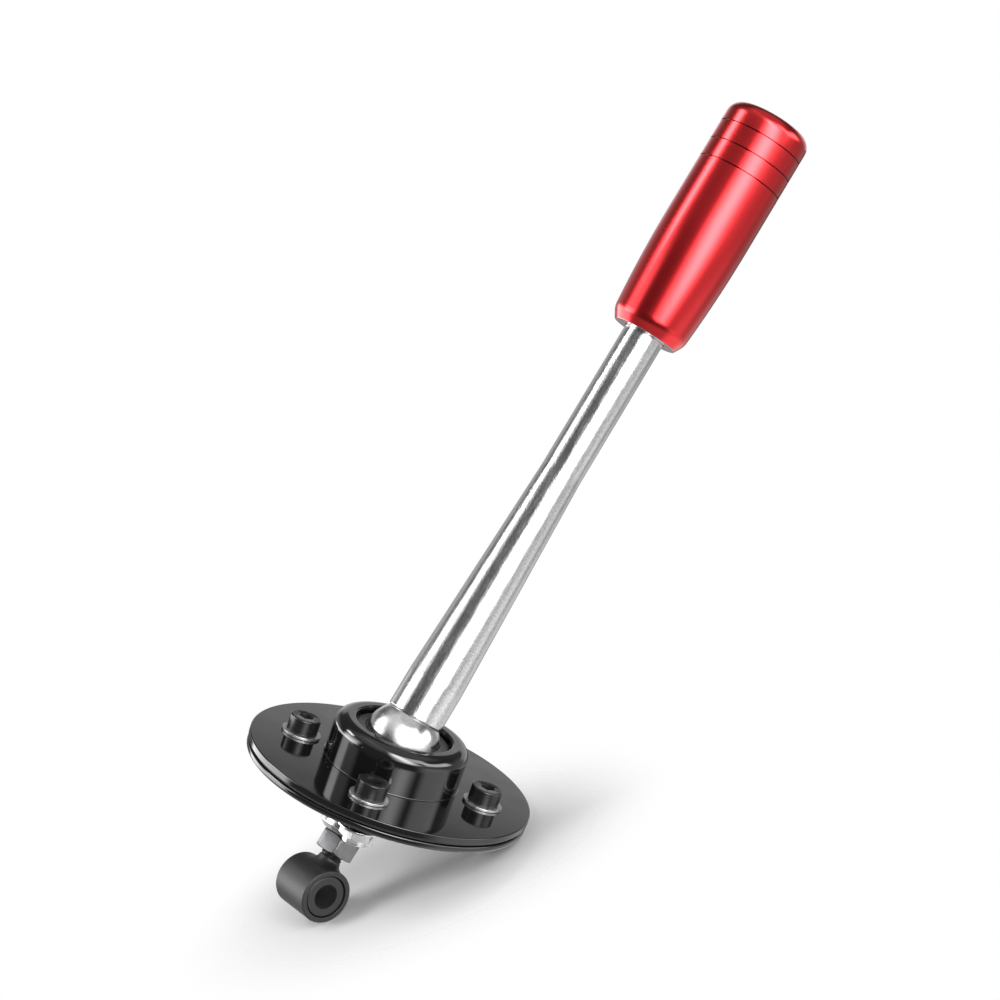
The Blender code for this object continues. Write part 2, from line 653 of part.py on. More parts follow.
def main():
    clear_scene()
    parts = new_collection("gear_shift_lever")
    cutters = new_collection("cutters")

    black = make_material("black_anodised", (0.012, 0.012, 0.013), 0.6, 0.18)
    rubber = make_material("black_rubber", (0.02, 0.02, 0.02), 0.0, 0.8)
    nylon = make_material("black_nylon", (0.03, 0.03, 0.032), 0.0, 0.4)
    spring_steel = make_material("spring_steel", (0.35, 0.35, 0.36), 1.0, 0.35)
    black_oxide = make_material("black_oxide", (0.02, 0.02, 0.022), 0.7, 0.4)
    zinc = make_material("bright_zinc", (0.62, 0.63, 0.64), 1.0, 0.3)
    chrome = make_material("chrome", (0.8, 0.8, 0.81), 1.0, 0.08)
    red = make_material("red_anodised", (0.62, 0.012, 0.02), 0.9, 0.3)
    grey_nylon = make_material("grey_nylon", (0.05, 0.05, 0.052), 0.0, 0.45)

    base_plate(parts, cutters, black)
    gasket(parts, cutters, rubber)
    ball_housing(parts, cutters, black)
    upper_seat(parts, cutters, nylon)
    lower_seat(parts, cutters, nylon)
    wave_spring(parts, spring_steel)
    circlip(parts, cutters, spring_steel)
    copies_on_screws(socket_screw_mesh(parts, cutters), "socket_screw", parts, black_oxide)
    copies_on_screws(washer_mesh(parts), "screw_washer", parts, zinc)
    copies_on_screws(flange_nut_mesh(parts, cutters), "flange_nut", parts, zinc)

    select_pivot = pivot_empty("select_pivot", parts, None, (0, 0, PIVOT_HEIGHT),
                               (0, math.radians(REST_SELECT), 0))
    shift_pivot = pivot_empty("shift_pivot", parts, select_pivot, (0, 0, 0),
                              (math.radians(REST_SHIFT), 0, 0))
    cross_pin(parts, black_oxide).parent = select_pivot
    lever_pieces = [
        pivot_ball(parts, cutters, chrome),
        lever_shaft(parts, chrome),
        knob(parts, red),
        lock_nut(parts, cutters, zinc),
        eyelet(parts, cutters, black_oxide),
        eyelet_bush(parts, grey_nylon),
    ]
    for piece in lever_pieces:
        piece.parent = shift_pivot


main()
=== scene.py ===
import math

import bmesh
import bpy
from mathutils import Matrix, Vector


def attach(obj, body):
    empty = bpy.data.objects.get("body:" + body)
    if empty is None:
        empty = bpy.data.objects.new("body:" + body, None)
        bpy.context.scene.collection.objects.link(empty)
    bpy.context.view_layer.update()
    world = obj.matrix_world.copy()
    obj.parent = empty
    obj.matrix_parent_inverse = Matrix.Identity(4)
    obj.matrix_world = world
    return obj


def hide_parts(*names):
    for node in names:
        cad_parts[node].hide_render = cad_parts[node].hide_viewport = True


# Gear shift lever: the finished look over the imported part. Sizes are in millimetres. Each piece is
# turned or cut upright about Z first, and then set in its place.

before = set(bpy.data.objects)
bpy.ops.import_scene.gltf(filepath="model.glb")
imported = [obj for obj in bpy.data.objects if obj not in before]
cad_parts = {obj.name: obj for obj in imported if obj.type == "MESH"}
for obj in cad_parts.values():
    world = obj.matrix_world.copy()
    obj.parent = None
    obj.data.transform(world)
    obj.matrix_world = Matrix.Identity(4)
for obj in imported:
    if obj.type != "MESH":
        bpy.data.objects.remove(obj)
scene = bpy.context.scene
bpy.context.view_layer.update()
mm = 0.001
print("frame loaded")

# how the lever stands at rest: leaned about Y, then about the cross pin, round the ball's centre
pose = {"pivotHeight": 16.0, "selectDeg": -6.75, "shiftDeg": -20.5}
pivotMove = Matrix.Translation((0, 0, pose["pivotHeight"] * mm))
selectTurn = Matrix.Rotation(math.radians(pose["selectDeg"]), 4, "Y")
shiftTurn = Matrix.Rotation(math.radians(pose["shiftDeg"]), 4, "X")
leverPlace = pivotMove @ selectTurn @ shiftTurn
upright = Matrix.Identity(4)
layAlongX = Matrix.Rotation(math.radians(90), 4, "Y")

# node helpers


def node(tree, kind, inputs=None, **settings):
    made = tree.nodes.new(kind)
    for name, value in settings.items():
        setattr(made, name, value)
    for name, value in (inputs or {}).items():
        socket = made.inputs[name]
        if isinstance(value, bpy.types.NodeSocket):
            tree.links.new(value, socket)
        else:
            socket.default_value = value
    return made


def maths(tree, operation, *values):
    made = node(tree, "ShaderNodeMath", operation=operation)
    for i, value in enumerate(values):
        if isinstance(value, bpy.types.NodeSocket):
            tree.links.new(value, made.inputs[i])
        else:
            made.inputs[i].default_value = value
    return made.outputs[0]


def between(tree, value, low, high, lowOut=0.0, highOut=1.0):
    made = node(tree, "ShaderNodeMapRange", {"Value": value}, interpolation_type="SMOOTHSTEP")
    for name, number in (("From Min", low), ("From Max", high), ("To Min", lowOut), ("To Max", highOut)):
        if isinstance(number, bpy.types.NodeSocket):
            tree.links.new(number, made.inputs[name])
        else:
            made.inputs[name].default_value = number
    return made.outputs["Result"]


def newGroup(name, kind, inputs, outputs):
    tree = bpy.data.node_groups.new(name, kind)
    for label, socketType, value in inputs:
        socket = tree.interface.new_socket(label, in_out="INPUT", socket_type=socketType)
        if value is not None:
            socket.default_value = value
    for label, socketType in outputs:
        tree.interface.new_socket(label, in_out="OUTPUT", socket_type=socketType)
    return tree, tree.nodes.new("NodeGroupInput"), tree.nodes.new("NodeGroupOutput")


# camera, room and light

view = {"lens": 108.78, "sensor": 36.0, "eye": (745.0, -588.1, 359.23),
        "target": (20.03, -9.69, 111.33), "rollDeg": 19.173}


def makeCamera():
    camera = bpy.data.objects.new("camera", bpy.data.cameras.new("camera"))
    scene.collection.objects.link(camera)
    camera.data.lens = view["lens"]
    camera.data.sensor_width = view["sensor"]
    camera.data.clip_start = 0.01
    eye = Vector(view["eye"]) * mm
    aim = (Vector(view["target"]) * mm - eye).to_track_quat("-Z", "Y").to_matrix().to_4x4()
    roll = Matrix.Rotation(math.radians(view["rollDeg"]), 4, "Z")
    camera.matrix_world = Matrix.Translation(eye) @ aim @ roll
    scene.camera = camera


# Each patch of light in the room, in degrees: where its middle is, half its width and its soft edge,
# round (azimuth 0 is in front, -Y, and 90 on the right, +X) and up. A patch may lean as it rises.
room = {
    "left box": {"round": (-31, 17, 6), "up": (3.5, 18.5, 2), "lean": 0.15, "brightness": 2.4},
    "left box core": {"round": (-31, 15, 6), "up": (-4, 12, 3), "lean": 0.15, "brightness": 4.2},
    "left box top": {"round": (-44, 9, 3), "up": (25, 6, 2), "lean": 0.0, "brightness": 11.0},
    "left box foot": {"round": (-56, 30, 5), "up": (-20, 12, 4), "lean": 0.0, "brightness": 4.5},
    "front box low": {"round": (66, 16, 8), "up": (16, 14, 4), "lean": -0.4, "brightness": 3.5},
    "front box high": {"round": (78, 36, 8), "up": (43, 13, 4), "lean": 0.0, "brightness": 5.0},
    "front core": {"round": (66, 13, 10), "up": (33, 22, 6), "lean": -0.8, "brightness": 9.0},
    "side box": {"round": (132, 26, 8), "up": (27, 10, 4), "lean": 0.0, "brightness": 5.0},
    "left card": {"round": (-95, 30, 12), "up": (-5, 12, 8), "lean": 0.0, "brightness": 0.38},
    "right card": {"round": (148, 52, 12), "up": (5, 22, 10), "lean": 0.0, "brightness": 0.28},
    "right glow": {"round": (112, 22, 12), "up": (5, 22, 10), "lean": 0.0, "brightness": 0.22},
    "near table": {"round": (125, 24, 12), "up": (-30, 25, 6), "lean": 0.0, "brightness": 0.85},
    "far table": {"round": (178, 29, 12), "up": (-35, 20, 4), "lean": 0.0, "brightness": 0.6},
    "back wall": {"round": (-136, 30, 8), "up": (8, 12.7, 1.3), "lean": 0.0, "brightness": 0.72},
    "high fill": {"round": (-12, 50, 20), "up": (50, 18, 5), "lean": 0.0, "brightness": 0.45},
    "ceiling": {"round": (0, 200, 1), "up": (78, 22, 10), "lean": 0.0, "brightness": 0.5},
    "table": {"round": (0, 200, 1), "up": (-62, 36, 6), "lean": 0.0, "brightness": 0.5},
}
roomBase = 0.12


def lightPatch():
    names = ("Round", "Up", "Round Middle", "Round Half", "Round Edge", "Up Middle", "Up Half", "Up Edge",
             "Lean", "Brightness")
    inputs = [(name, "NodeSocketFloat", 0.0) for name in names]
    tree, start, end = newGroup("lightPatch", "ShaderNodeTree", inputs, [("Light", "NodeSocketFloat")])
    value = start.outputs
    raised = maths(tree, "SUBTRACT", value["Up"], value["Up Middle"])
    leaned = maths(tree, "ADD", value["Round Middle"], maths(tree, "MULTIPLY", raised, value["Lean"]))
    swung = maths(tree, "WRAP", maths(tree, "SUBTRACT", value["Round"], leaned), 180.0, -180.0)
    light = value["Brightness"]
    for off, side in ((swung, "Round"), (raised, "Up")):
        outer = maths(tree, "ADD", value[side + " Half"], value[side + " Edge"])
        inner = maths(tree, "SUBTRACT", value[side + " Half"], value[side + " Edge"])
        share = between(tree, maths(tree, "ABSOLUTE", off), inner, outer, 1.0, 0.0)
        light = maths(tree, "MULTIPLY", light, share)
    tree.links.new(light, end.inputs["Light"])
    return tree


def makeRoom():
    world = bpy.data.worlds.new("room")
    scene.world = world
    world.use_nodes = True
    tree = world.node_tree
    tree.nodes.clear()
    towards = node(tree, "ShaderNodeTexCoord").outputs["Generated"]
    parts = node(tree, "ShaderNodeSeparateXYZ", {"Vector": towards}).outputs
    behind = maths(tree, "MULTIPLY", parts["Y"], -1.0)
    azimuth = maths(tree, "DEGREES", maths(tree, "ARCTAN2", parts["X"], behind))
    elevation = maths(tree, "DEGREES", maths(tree, "ARCSINE", parts["Z"]))
    patch = lightPatch()
    total = roomBase
    for name, light in room.items():
        made = node(tree, "ShaderNodeGroup", {}, node_tree=patch, label=name)
        tree.links.new(azimuth, made.inputs["Round"])
        tree.links.new(elevation, made.inputs["Up"])
        for side in ("Round", "Up"):
            for label, size in zip((" Middle", " Half", " Edge"), light[side.lower()]):
                made.inputs[side + label].default_value = size
        made.inputs["Lean"].default_value = light["lean"]
        made.inputs["Brightness"].default_value = light["brightness"]
        total = maths(tree, "ADD", total, made.outputs[0])
    lit = node(tree, "ShaderNodeBackground", {"Strength": total})
    backdrop = node(tree, "ShaderNodeBackground", {"Strength": 1.0})
    for shader in (lit, backdrop):
        shader.inputs["Color"].default_value = (1, 1, 1, 1)
    seen = node(tree, "ShaderNodeLightPath").outputs["Is Camera Ray"]
    mix = node(tree, "ShaderNodeMixShader", {0: seen, 1: lit.outputs[0], 2: backdrop.outputs[0]})
    out = node(tree, "ShaderNodeOutputWorld")
    tree.links.new(mix.outputs[0], out.inputs["Surface"])


# the floor touches the eyelet's lowest point and fades into the white backdrop
floorPlace = {"normal": (-0.377, -0.519, 0.766), "middle": (11.9, 16.4, -24.3), "radius": 96,
              "albedo": 0.53, "fadeFrom": 0.30, "fadeTo": 0.95}


def makeFloor():
    normal = Vector(floorPlace["normal"]).normalized()
    middle = Vector(floorPlace["middle"]) * mm
    mesh = bpy.data.meshes.new("floor")
    shape = bmesh.new()
    bmesh.ops.create_circle(shape, cap_ends=True, segments=96, radius=floorPlace["radius"] * mm)
    shape.to_mesh(mesh)
    shape.free()
    turn = Vector((0, 0, 1)).rotation_difference(normal).to_matrix().to_4x4()
    mesh.transform(Matrix.Translation(middle) @ turn)
    floor = bpy.data.objects.new("floor", mesh)
    scene.collection.objects.link(floor)
    material = bpy.data.materials.new("floor")
    material.use_nodes = True
    tree = material.node_tree
    tree.nodes.clear()
    where = node(tree, "ShaderNodeNewGeometry")
    offset = node(tree, "ShaderNodeVectorMath", operation="DISTANCE")
    tree.links.new(where.outputs["Position"], offset.inputs[0])
    offset.inputs[1].default_value = middle
    reach = floorPlace["radius"] * mm
    fadeFrom, fadeTo = floorPlace["fadeFrom"] * reach, floorPlace["fadeTo"] * reach
    fade = between(tree, offset.outputs["Value"], fadeFrom, fadeTo)
    hidden = maths(tree, "MAXIMUM", fade, where.outputs["Backfacing"])
    shade = floorPlace["albedo"]
    paint = node(tree, "ShaderNodeBsdfDiffuse", {"Color": (shade, shade, shade, 1)})
    clear = node(tree, "ShaderNodeBsdfTransparent")
    mix = node(tree, "ShaderNodeMixShader", {0: hidden, 1: paint.outputs[0], 2: clear.outputs[0]})
    out = node(tree, "ShaderNodeOutputMaterial")
    tree.links.new(mix.outputs[0], out.inputs["Surface"])
    mesh.materials.append(material)
    floor.visible_glossy = False


makeCamera()
makeRoom()
makeFloor()
scene.view_settings.view_transform = "Standard"
print("camera, room and floor made")

# shared shader groups: each puts out a mask, a value or a normal


def fineGrain():
    inputs = [("Vector", "NodeSocketVector", None), ("Scale", "NodeSocketFloat", 1.0),
              ("Contrast", "NodeSocketFloat", 1.0)]
    tree, start, end = newGroup("fineGrain", "ShaderNodeTree", inputs, [("Grain", "NodeSocketFloat")])
    noise = node(tree, "ShaderNodeTexNoise", {"Vector": start.outputs["Vector"], "Detail": 6.0})
    tree.links.new(start.outputs["Scale"], noise.inputs["Scale"])
    centred = maths(tree, "SUBTRACT", noise.outputs[0], 0.5)
    strong = maths(tree, "MULTIPLY", centred, start.outputs["Contrast"])
    grain = node(tree, "ShaderNodeMath", operation="ADD", use_clamp=True)
    tree.links.new(strong, grain.inputs[0])
    grain.inputs[1].default_value = 0.5
    tree.links.new(grain.outputs[0], end.inputs["Grain"])
    return tree


def dustSpecks():
    inputs = [("Vector", "NodeSocketVector", None), ("Scale", "NodeSocketFloat", 1.0),
              ("Size", "NodeSocketFloat", 0.08), ("Share", "NodeSocketFloat", 0.2)]
    tree, start, end = newGroup("dustSpecks", "ShaderNodeTree", inputs, [("Specks", "NodeSocketFloat")])
    cells = node(tree, "ShaderNodeTexVoronoi", {"Vector": start.outputs["Vector"]})
    tree.links.new(start.outputs["Scale"], cells.inputs["Scale"])
    pick = node(tree, "ShaderNodeSeparateColor", {"Color": cells.outputs["Color"]}).outputs[0]
    chosen = maths(tree, "LESS_THAN", pick, start.outputs["Share"])
    spot = maths(tree, "LESS_THAN", cells.outputs["Distance"], start.outputs["Size"])
    tree.links.new(maths(tree, "MULTIPLY", chosen, spot), end.inputs["Specks"])
    return tree


def toolLines():
    # lines that a lathe or a polishing belt leaves: noise drawn out by the stretch along each axis
    inputs = [("Vector", "NodeSocketVector", None), ("Stretch", "NodeSocketVector", (1, 1, 1)),
              ("Detail", "NodeSocketFloat", 4.0)]
    tree, start, end = newGroup("toolLines", "ShaderNodeTree", inputs, [("Lines", "NodeSocketFloat")])
    drawn = node(tree, "ShaderNodeVectorMath", operation="MULTIPLY")
    tree.links.new(start.outputs["Vector"], drawn.inputs[0])
    tree.links.new(start.outputs["Stretch"], drawn.inputs[1])
    noise = node(tree, "ShaderNodeTexNoise", {"Vector": drawn.outputs[0], "Scale": 1.0})
    tree.links.new(start.outputs["Detail"], noise.inputs["Detail"])
    tree.links.new(noise.outputs[0], end.inputs["Lines"])
    return tree


grainGroup = fineGrain()
speckGroup = dustSpecks()
lineGroup = toolLines()


def grain(tree, where, scale, contrast):
    made = node(tree, "ShaderNodeGroup", {}, node_tree=grainGroup)
    tree.links.new(where, made.inputs["Vector"])
    made.inputs["Scale"].default_value = scale
    made.inputs["Contrast"].default_value = contrast
    return made.outputs[0]


def specks(tree, where, scale, size, share):
    made = node(tree, "ShaderNodeGroup", {}, node_tree=speckGroup)
    tree.links.new(where, made.inputs["Vector"])
    for name, value in (("Scale", scale), ("Size", size), ("Share", share)):
        made.inputs[name].default_value = value
    return made.outputs[0]


def lines(tree, where, stretch, detail):
    made = node(tree, "ShaderNodeGroup", {}, node_tree=lineGroup)
    tree.links.new(where, made.inputs["Vector"])
    made.inputs["Stretch"].default_value = stretch
    made.inputs["Detail"].default_value = detail
    return made.outputs[0]


def newMaterial(name, colour, metallic, roughness):
    material = bpy.data.materials.new(name)
    material.use_nodes = True
    shader = material.node_tree.nodes["Principled BSDF"]
    shader.inputs["Base Color"].default_value = (*colour, 1)
    shader.inputs["Metallic"].default_value = metallic
    shader.inputs["Roughness"].default_value = roughness
    return material, material.node_tree, shader


def ownPoint(tree):
    # millimetres in the piece's own upright frame, stored on the mesh when it is placed
    return node(tree, "ShaderNodeAttribute", attribute_name="ownPoint").outputs["Vector"]


def bump(tree, shader, height, strength, distance):
    made = node(tree, "ShaderNodeBump", {"Height": height, "Strength": strength, "Distance": distance})
    tree.links.new(made.outputs[0], shader.inputs["Normal"])


def mixColour(tree, factor, low, high):
    made = node(tree, "ShaderNodeMix", data_type="RGBA")
    tree.links.new(factor, made.inputs[0])
    for i, colour in ((6, low), (7, high)):
        if isinstance(colour, bpy.types.NodeSocket):
            tree.links.new(colour, made.inputs[i])
        else:
            made.inputs[i].default_value = (*colour, 1)
    return made.outputs[2]


def distanceAlong(tree, where, axes):
    # how far a point lies from the origin, counting only the axes marked 1
    flat = node(tree, "ShaderNodeVectorMath", {0: where}, operation="MULTIPLY")
    flat.inputs[1].default_value = axes
    return node(tree, "ShaderNodeVectorMath", {0: flat.outputs[0]}, operation="LENGTH").outputs["Value"]


# materials

blackGloss = {"colour": (0.0035, 0.0035, 0.004), "roughness": 0.07, "ior": 1.66, "ripple": 0.02,
              "dustColour": (0.09, 0.09, 0.09), "dustScale": 0.55, "dustSize": 0.10, "dustShare": 0.05}


def makeBlackGloss():
    # gloss paint with a slight ripple, faint smears and a few specks of dust
    material, tree, shader = newMaterial("blackGloss", blackGloss["colour"], 0.0, blackGloss["roughness"])
    where = ownPoint(tree)
    dust = specks(tree, where, blackGloss["dustScale"], blackGloss["dustSize"], blackGloss["dustShare"])
    colour = mixColour(tree, dust, blackGloss["colour"], blackGloss["dustColour"])
    tree.links.new(colour, shader.inputs["Base Color"])
    smear = grain(tree, where, 0.12, 1.6)
    rough = between(tree, smear, 0.0, 1.0, blackGloss["roughness"] * 0.6, blackGloss["roughness"] * 1.5)
    rough = maths(tree, "ADD", rough, maths(tree, "MULTIPLY", dust, 0.4))
    tree.links.new(rough, shader.inputs["Roughness"])
    shader.inputs["IOR"].default_value = blackGloss["ior"]
    bump(tree, shader, grain(tree, where, 0.9, 1.0), 0.12, blackGloss["ripple"] * mm)
    return material


chromeLook = {"colour": (0.70, 0.70, 0.71), "dull": 0.80, "pitContrast": 2.2, "streakShare": 0.6}
shaftFinish = {"roughness": 0.16, "depth": 0.16, "stretch": (3.0, 3.0, 0.12), "pitScale": 1.6}
ballFinish = {"roughness": 0.29, "depth": 0.04, "stretch": (0.12, 0.12, 0.2), "pitScale": 0.25}


def makeChrome(name, finish):
    # plating over polishing lines and fine pits
    material, tree, shader = newMaterial(name, chromeLook["colour"], 1.0, finish["roughness"])
    where = ownPoint(tree)
    streaks = lines(tree, where, finish["stretch"], 5.0)
    pits = grain(tree, where, finish["pitScale"], chromeLook["pitContrast"])
    rough = between(tree, streaks, 0.35, 0.75, finish["roughness"] * 0.7, finish["roughness"] * 1.6)
    tree.links.new(rough, shader.inputs["Roughness"])
    tint = between(tree, pits, 0.1, 0.9)
    dull = tuple(chromeLook["dull"] * c for c in chromeLook["colour"])
    tree.links.new(mixColour(tree, tint, dull, chromeLook["colour"]), shader.inputs["Base Color"])
    share = chromeLook["streakShare"]
    drawn = maths(tree, "MULTIPLY", streaks, share)
    height = maths(tree, "ADD", drawn, maths(tree, "MULTIPLY", pits, 1 - share))
    bump(tree, shader, height, 0.25, finish["depth"] * mm)
    return material


# the grooves' near-black red below is painted shade
redLook = {"colour": (0.68, 0.026, 0.031), "raw": (0.40, 0.27, 0.27), "groove": (0.14, 0.002, 0.004),
           "clouded": 0.86, "roughness": 0.24, "lacquer": 0.3, "lacquerRoughness": 0.16,
           "rawBelow": 158.35, "grooveRadius": 15.05, "groovesAbove": 215.0, "groovesBelow": 238.0}


def makeRed():
    # anodised aluminium: bare on the end face, with painted shade in the grooves
    material, tree, shader = newMaterial("redAnodised", redLook["colour"], 1.0, redLook["roughness"])
    where = ownPoint(tree)
    height = node(tree, "ShaderNodeSeparateXYZ", {"Vector": where}).outputs["Z"]
    bare = between(tree, height, redLook["rawBelow"] - 0.05, redLook["rawBelow"] + 0.05, 1.0, 0.0)
    cloud = grain(tree, where, 0.08, 1.2)
    deep = tuple(redLook["clouded"] * c for c in redLook["colour"])
    paint = mixColour(tree, cloud, deep, redLook["colour"])
    # painted shade: the band of the grooves, inside the grip's radius, takes a near-black red
    cut = maths(tree, "LESS_THAN", distanceAlong(tree, where, (1, 1, 0)), redLook["grooveRadius"])
    cut = maths(tree, "MULTIPLY", cut, maths(tree, "GREATER_THAN", height, redLook["groovesAbove"]))
    cut = maths(tree, "MULTIPLY", cut, maths(tree, "LESS_THAN", height, redLook["groovesBelow"]))
    paint = mixColour(tree, cut, paint, redLook["groove"])
    tree.links.new(mixColour(tree, bare, paint, redLook["raw"]), shader.inputs["Base Color"])
    rings = lines(tree, where, (0.02, 0.02, 9.0), 3.0)
    rough = between(tree, rings, 0.3, 0.7, redLook["roughness"] * 0.97, redLook["roughness"] * 1.03)
    tree.links.new(rough, shader.inputs["Roughness"])
    bump(tree, shader, grain(tree, where, 2.4, 1.6), 0.05, 0.02 * mm)
    shader.inputs["Coat Weight"].default_value = redLook["lacquer"]
    shader.inputs["Coat Roughness"].default_value = redLook["lacquerRoughness"]
    return material


steelLooks = {
    "brightZinc": {"colour": (0.68, 0.68, 0.69), "roughness": 0.22, "rings": (0.4, 0.4, 4.0)},
    "dullZinc": {"colour": (0.24, 0.24, 0.245), "roughness": 0.38, "rings": (0.4, 0.4, 4.0)},
    "washerZinc": {"colour": (0.62, 0.62, 0.63), "roughness": 0.42, "rings": (1.0, 1.0, 3.0)},
}


def makeSteel(name, look):
    # plated steel with the rings that turning leaves
    material, tree, shader = newMaterial(name, look["colour"], 1.0, look["roughness"])
    where = ownPoint(tree)
    cloud = grain(tree, where, 0.5, 1.6)
    dark = tuple(0.72 * c for c in look["colour"])
    tree.links.new(mixColour(tree, cloud, dark, look["colour"]), shader.inputs["Base Color"])
    rings = lines(tree, where, look["rings"], 3.0)
    rough = between(tree, rings, 0.3, 0.7, look["roughness"] * 0.75, look["roughness"] * 1.3)
    tree.links.new(rough, shader.inputs["Roughness"])
    bump(tree, shader, rings, 0.2, 0.03 * mm)
    return material


satinLooks = {
    "blackScrew": {"colour": (0.006, 0.006, 0.0065), "roughness": 0.27, "toothScale": 3.0, "depth": 0.01},
    "blackSteel": {"colour": (0.006, 0.006, 0.0065), "roughness": 0.50, "toothScale": 2.2, "depth": 0.03},
    "blackNylon": {"colour": (0.022, 0.022, 0.023), "roughness": 0.42, "toothScale": 1.2, "depth": 0.02},
    "blackRubber": {"colour": (0.015, 0.015, 0.015), "roughness": 0.7, "toothScale": 2.5, "depth": 0.04},
}
satinLift = 1.8  # how much lighter the raised tooth is than the hollows


def makeBlackSatin(name, look):
    # moulded or oxide-blacked surfaces with a fine tooth
    material, tree, shader = newMaterial(name, look["colour"], 0.0, look["roughness"])
    where = ownPoint(tree)
    tooth = grain(tree, where, look["toothScale"], 1.6)
    lighter = tuple(satinLift * c for c in look["colour"])
    tree.links.new(mixColour(tree, tooth, look["colour"], lighter), shader.inputs["Base Color"])
    rough = between(tree, tooth, 0.0, 1.0, look["roughness"] * 0.85, look["roughness"] * 1.15)
    tree.links.new(rough, shader.inputs["Roughness"])
    bump(tree, shader, tooth, 0.35, look["depth"] * mm)
    return material


# the bore's near-black colour is painted shade
bushLook = {"colour": (0.006, 0.006, 0.0065), "boreShadeColour": (0.001, 0.001, 0.001), "boreRadius": 4.35,
            "centre": (0.0, 0.0, -56.5), "roughness": 0.46, "boreRoughness": 0.4, "toothScale": 1.8,
            "depth": 0.03}


def makeBushNylon():
    # moulded nylon, dark and dull, with painted shade inside the bore, which is also rougher
    material, tree, shader = newMaterial("greyNylon", bushLook["colour"], 0.0, bushLook["roughness"])
    where = ownPoint(tree)
    centred = node(tree, "ShaderNodeVectorMath", {0: where}, operation="SUBTRACT")
    centred.inputs[1].default_value = bushLook["centre"]
    across = distanceAlong(tree, centred.outputs[0], (0, 1, 1))
    shadedBore = maths(tree, "LESS_THAN", across, bushLook["boreRadius"])
    tooth = grain(tree, where, bushLook["toothScale"], 1.6)
    lighter = tuple(satinLift * c for c in bushLook["colour"])
    face = mixColour(tree, tooth, bushLook["colour"], lighter)
    # painted shade: inside the bore radius the colour turns near-black
    tree.links.new(mixColour(tree, shadedBore, face, bushLook["boreShadeColour"]), shader.inputs["Base Color"])
    boreRoughening = maths(tree, "MULTIPLY", shadedBore, bushLook["boreRoughness"])
    tree.links.new(maths(tree, "ADD", bushLook["roughness"], boreRoughening), shader.inputs["Roughness"])
    bump(tree, shader, tooth, 0.35, bushLook["depth"] * mm)
    return material


innerLook = {"dark": (0.2, 0.2, 0.205), "light": (0.36, 0.36, 0.37), "smooth": 0.22, "rough": 0.42,
             "scale": 600.0}


def makeInnerSteel():
    # reads object coordinates in metres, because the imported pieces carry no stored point
    material, tree, shader = newMaterial("innerSteel", innerLook["light"], 1.0, innerLook["rough"])
    where = node(tree, "ShaderNodeTexCoord").outputs["Object"]
    smear = grain(tree, where, innerLook["scale"], 1.6)
    colour = mixColour(tree, smear, innerLook["dark"], innerLook["light"])
    tree.links.new(colour, shader.inputs["Base Color"])
    rough = between(tree, smear, 0.0, 1.0, innerLook["smooth"], innerLook["rough"])
    tree.links.new(rough, shader.inputs["Roughness"])
    return material


materials = {
    "blackGloss": makeBlackGloss(),
    "shaftChrome": makeChrome("shaftChrome", shaftFinish),
    "ballChrome": makeChrome("ballChrome", ballFinish),
    "redAnodised": makeRed(),
    "greyNylon": makeBushNylon(),
    "innerSteel": makeInnerSteel(),
}
for name, look in steelLooks.items():
    materials[name] = makeSteel(name, look)
for name, look in satinLooks.items():
    materials[name] = makeBlackSatin(name, look)
print("materials made")

# Geometry Nodes groups


weld = 2e-6  # metres
meshOut = [("Geometry", "NodeSocketGeometry")]


def finishTree(tree, end, geometry, material):
    whole = node(tree, "GeometryNodeRealizeInstances", {"Geometry": geometry})
    painted = node(tree, "GeometryNodeSetMaterial", {"Geometry": whole.outputs[0], "Material": material})
    tree.links.new(painted.outputs[0], end.inputs[0])


def turnTree():
    # a line of profile points swept round Z: the grid's columns go round and its rows follow the points
    inputs = [("Geometry", "NodeSocketGeometry", None), ("Steps", "NodeSocketInt", 96),
              ("Rows", "NodeSocketInt", 2), ("Material", "NodeSocketMaterial", None)]
    tree, start, end = newGroup("turned", "GeometryNodeTree", inputs, meshOut)
    value = start.outputs
    columns = maths(tree, "ADD", value["Steps"], 1.0)
    grid = node(tree, "GeometryNodeMeshGrid", {"Vertices X": columns, "Vertices Y": value["Rows"]})
    index = node(tree, "GeometryNodeInputIndex").outputs[0]
    shifted = maths(tree, "ADD", index, 0.5)
    column = maths(tree, "FLOOR", maths(tree, "DIVIDE", shifted, value["Rows"]))
    row = maths(tree, "SUBTRACT", index, maths(tree, "MULTIPLY", column, value["Rows"]))
    angle = maths(tree, "MULTIPLY", maths(tree, "DIVIDE", column, value["Steps"]), math.tau)
    position = node(tree, "GeometryNodeInputPosition").outputs[0]
    picked = node(tree, "GeometryNodeSampleIndex", data_type="FLOAT_VECTOR")
    tree.links.new(value["Geometry"], picked.inputs["Geometry"])
    tree.links.new(position, picked.inputs["Value"])
    tree.links.new(row, picked.inputs["Index"])
    turned = node(tree, "ShaderNodeVectorRotate", {"Vector": picked.outputs[0], "Angle": angle},
                  rotation_type="Z_AXIS")
    placed = node(tree, "GeometryNodeSetPosition", {"Geometry": grid.outputs[0]})
    tree.links.new(turned.outputs[0], placed.inputs["Position"])
    merged = node(tree, "GeometryNodeMergeByDistance", {"Geometry": placed.outputs[0], "Distance": weld})
    finishTree(tree, end, merged.outputs[0], value["Material"])
    return tree


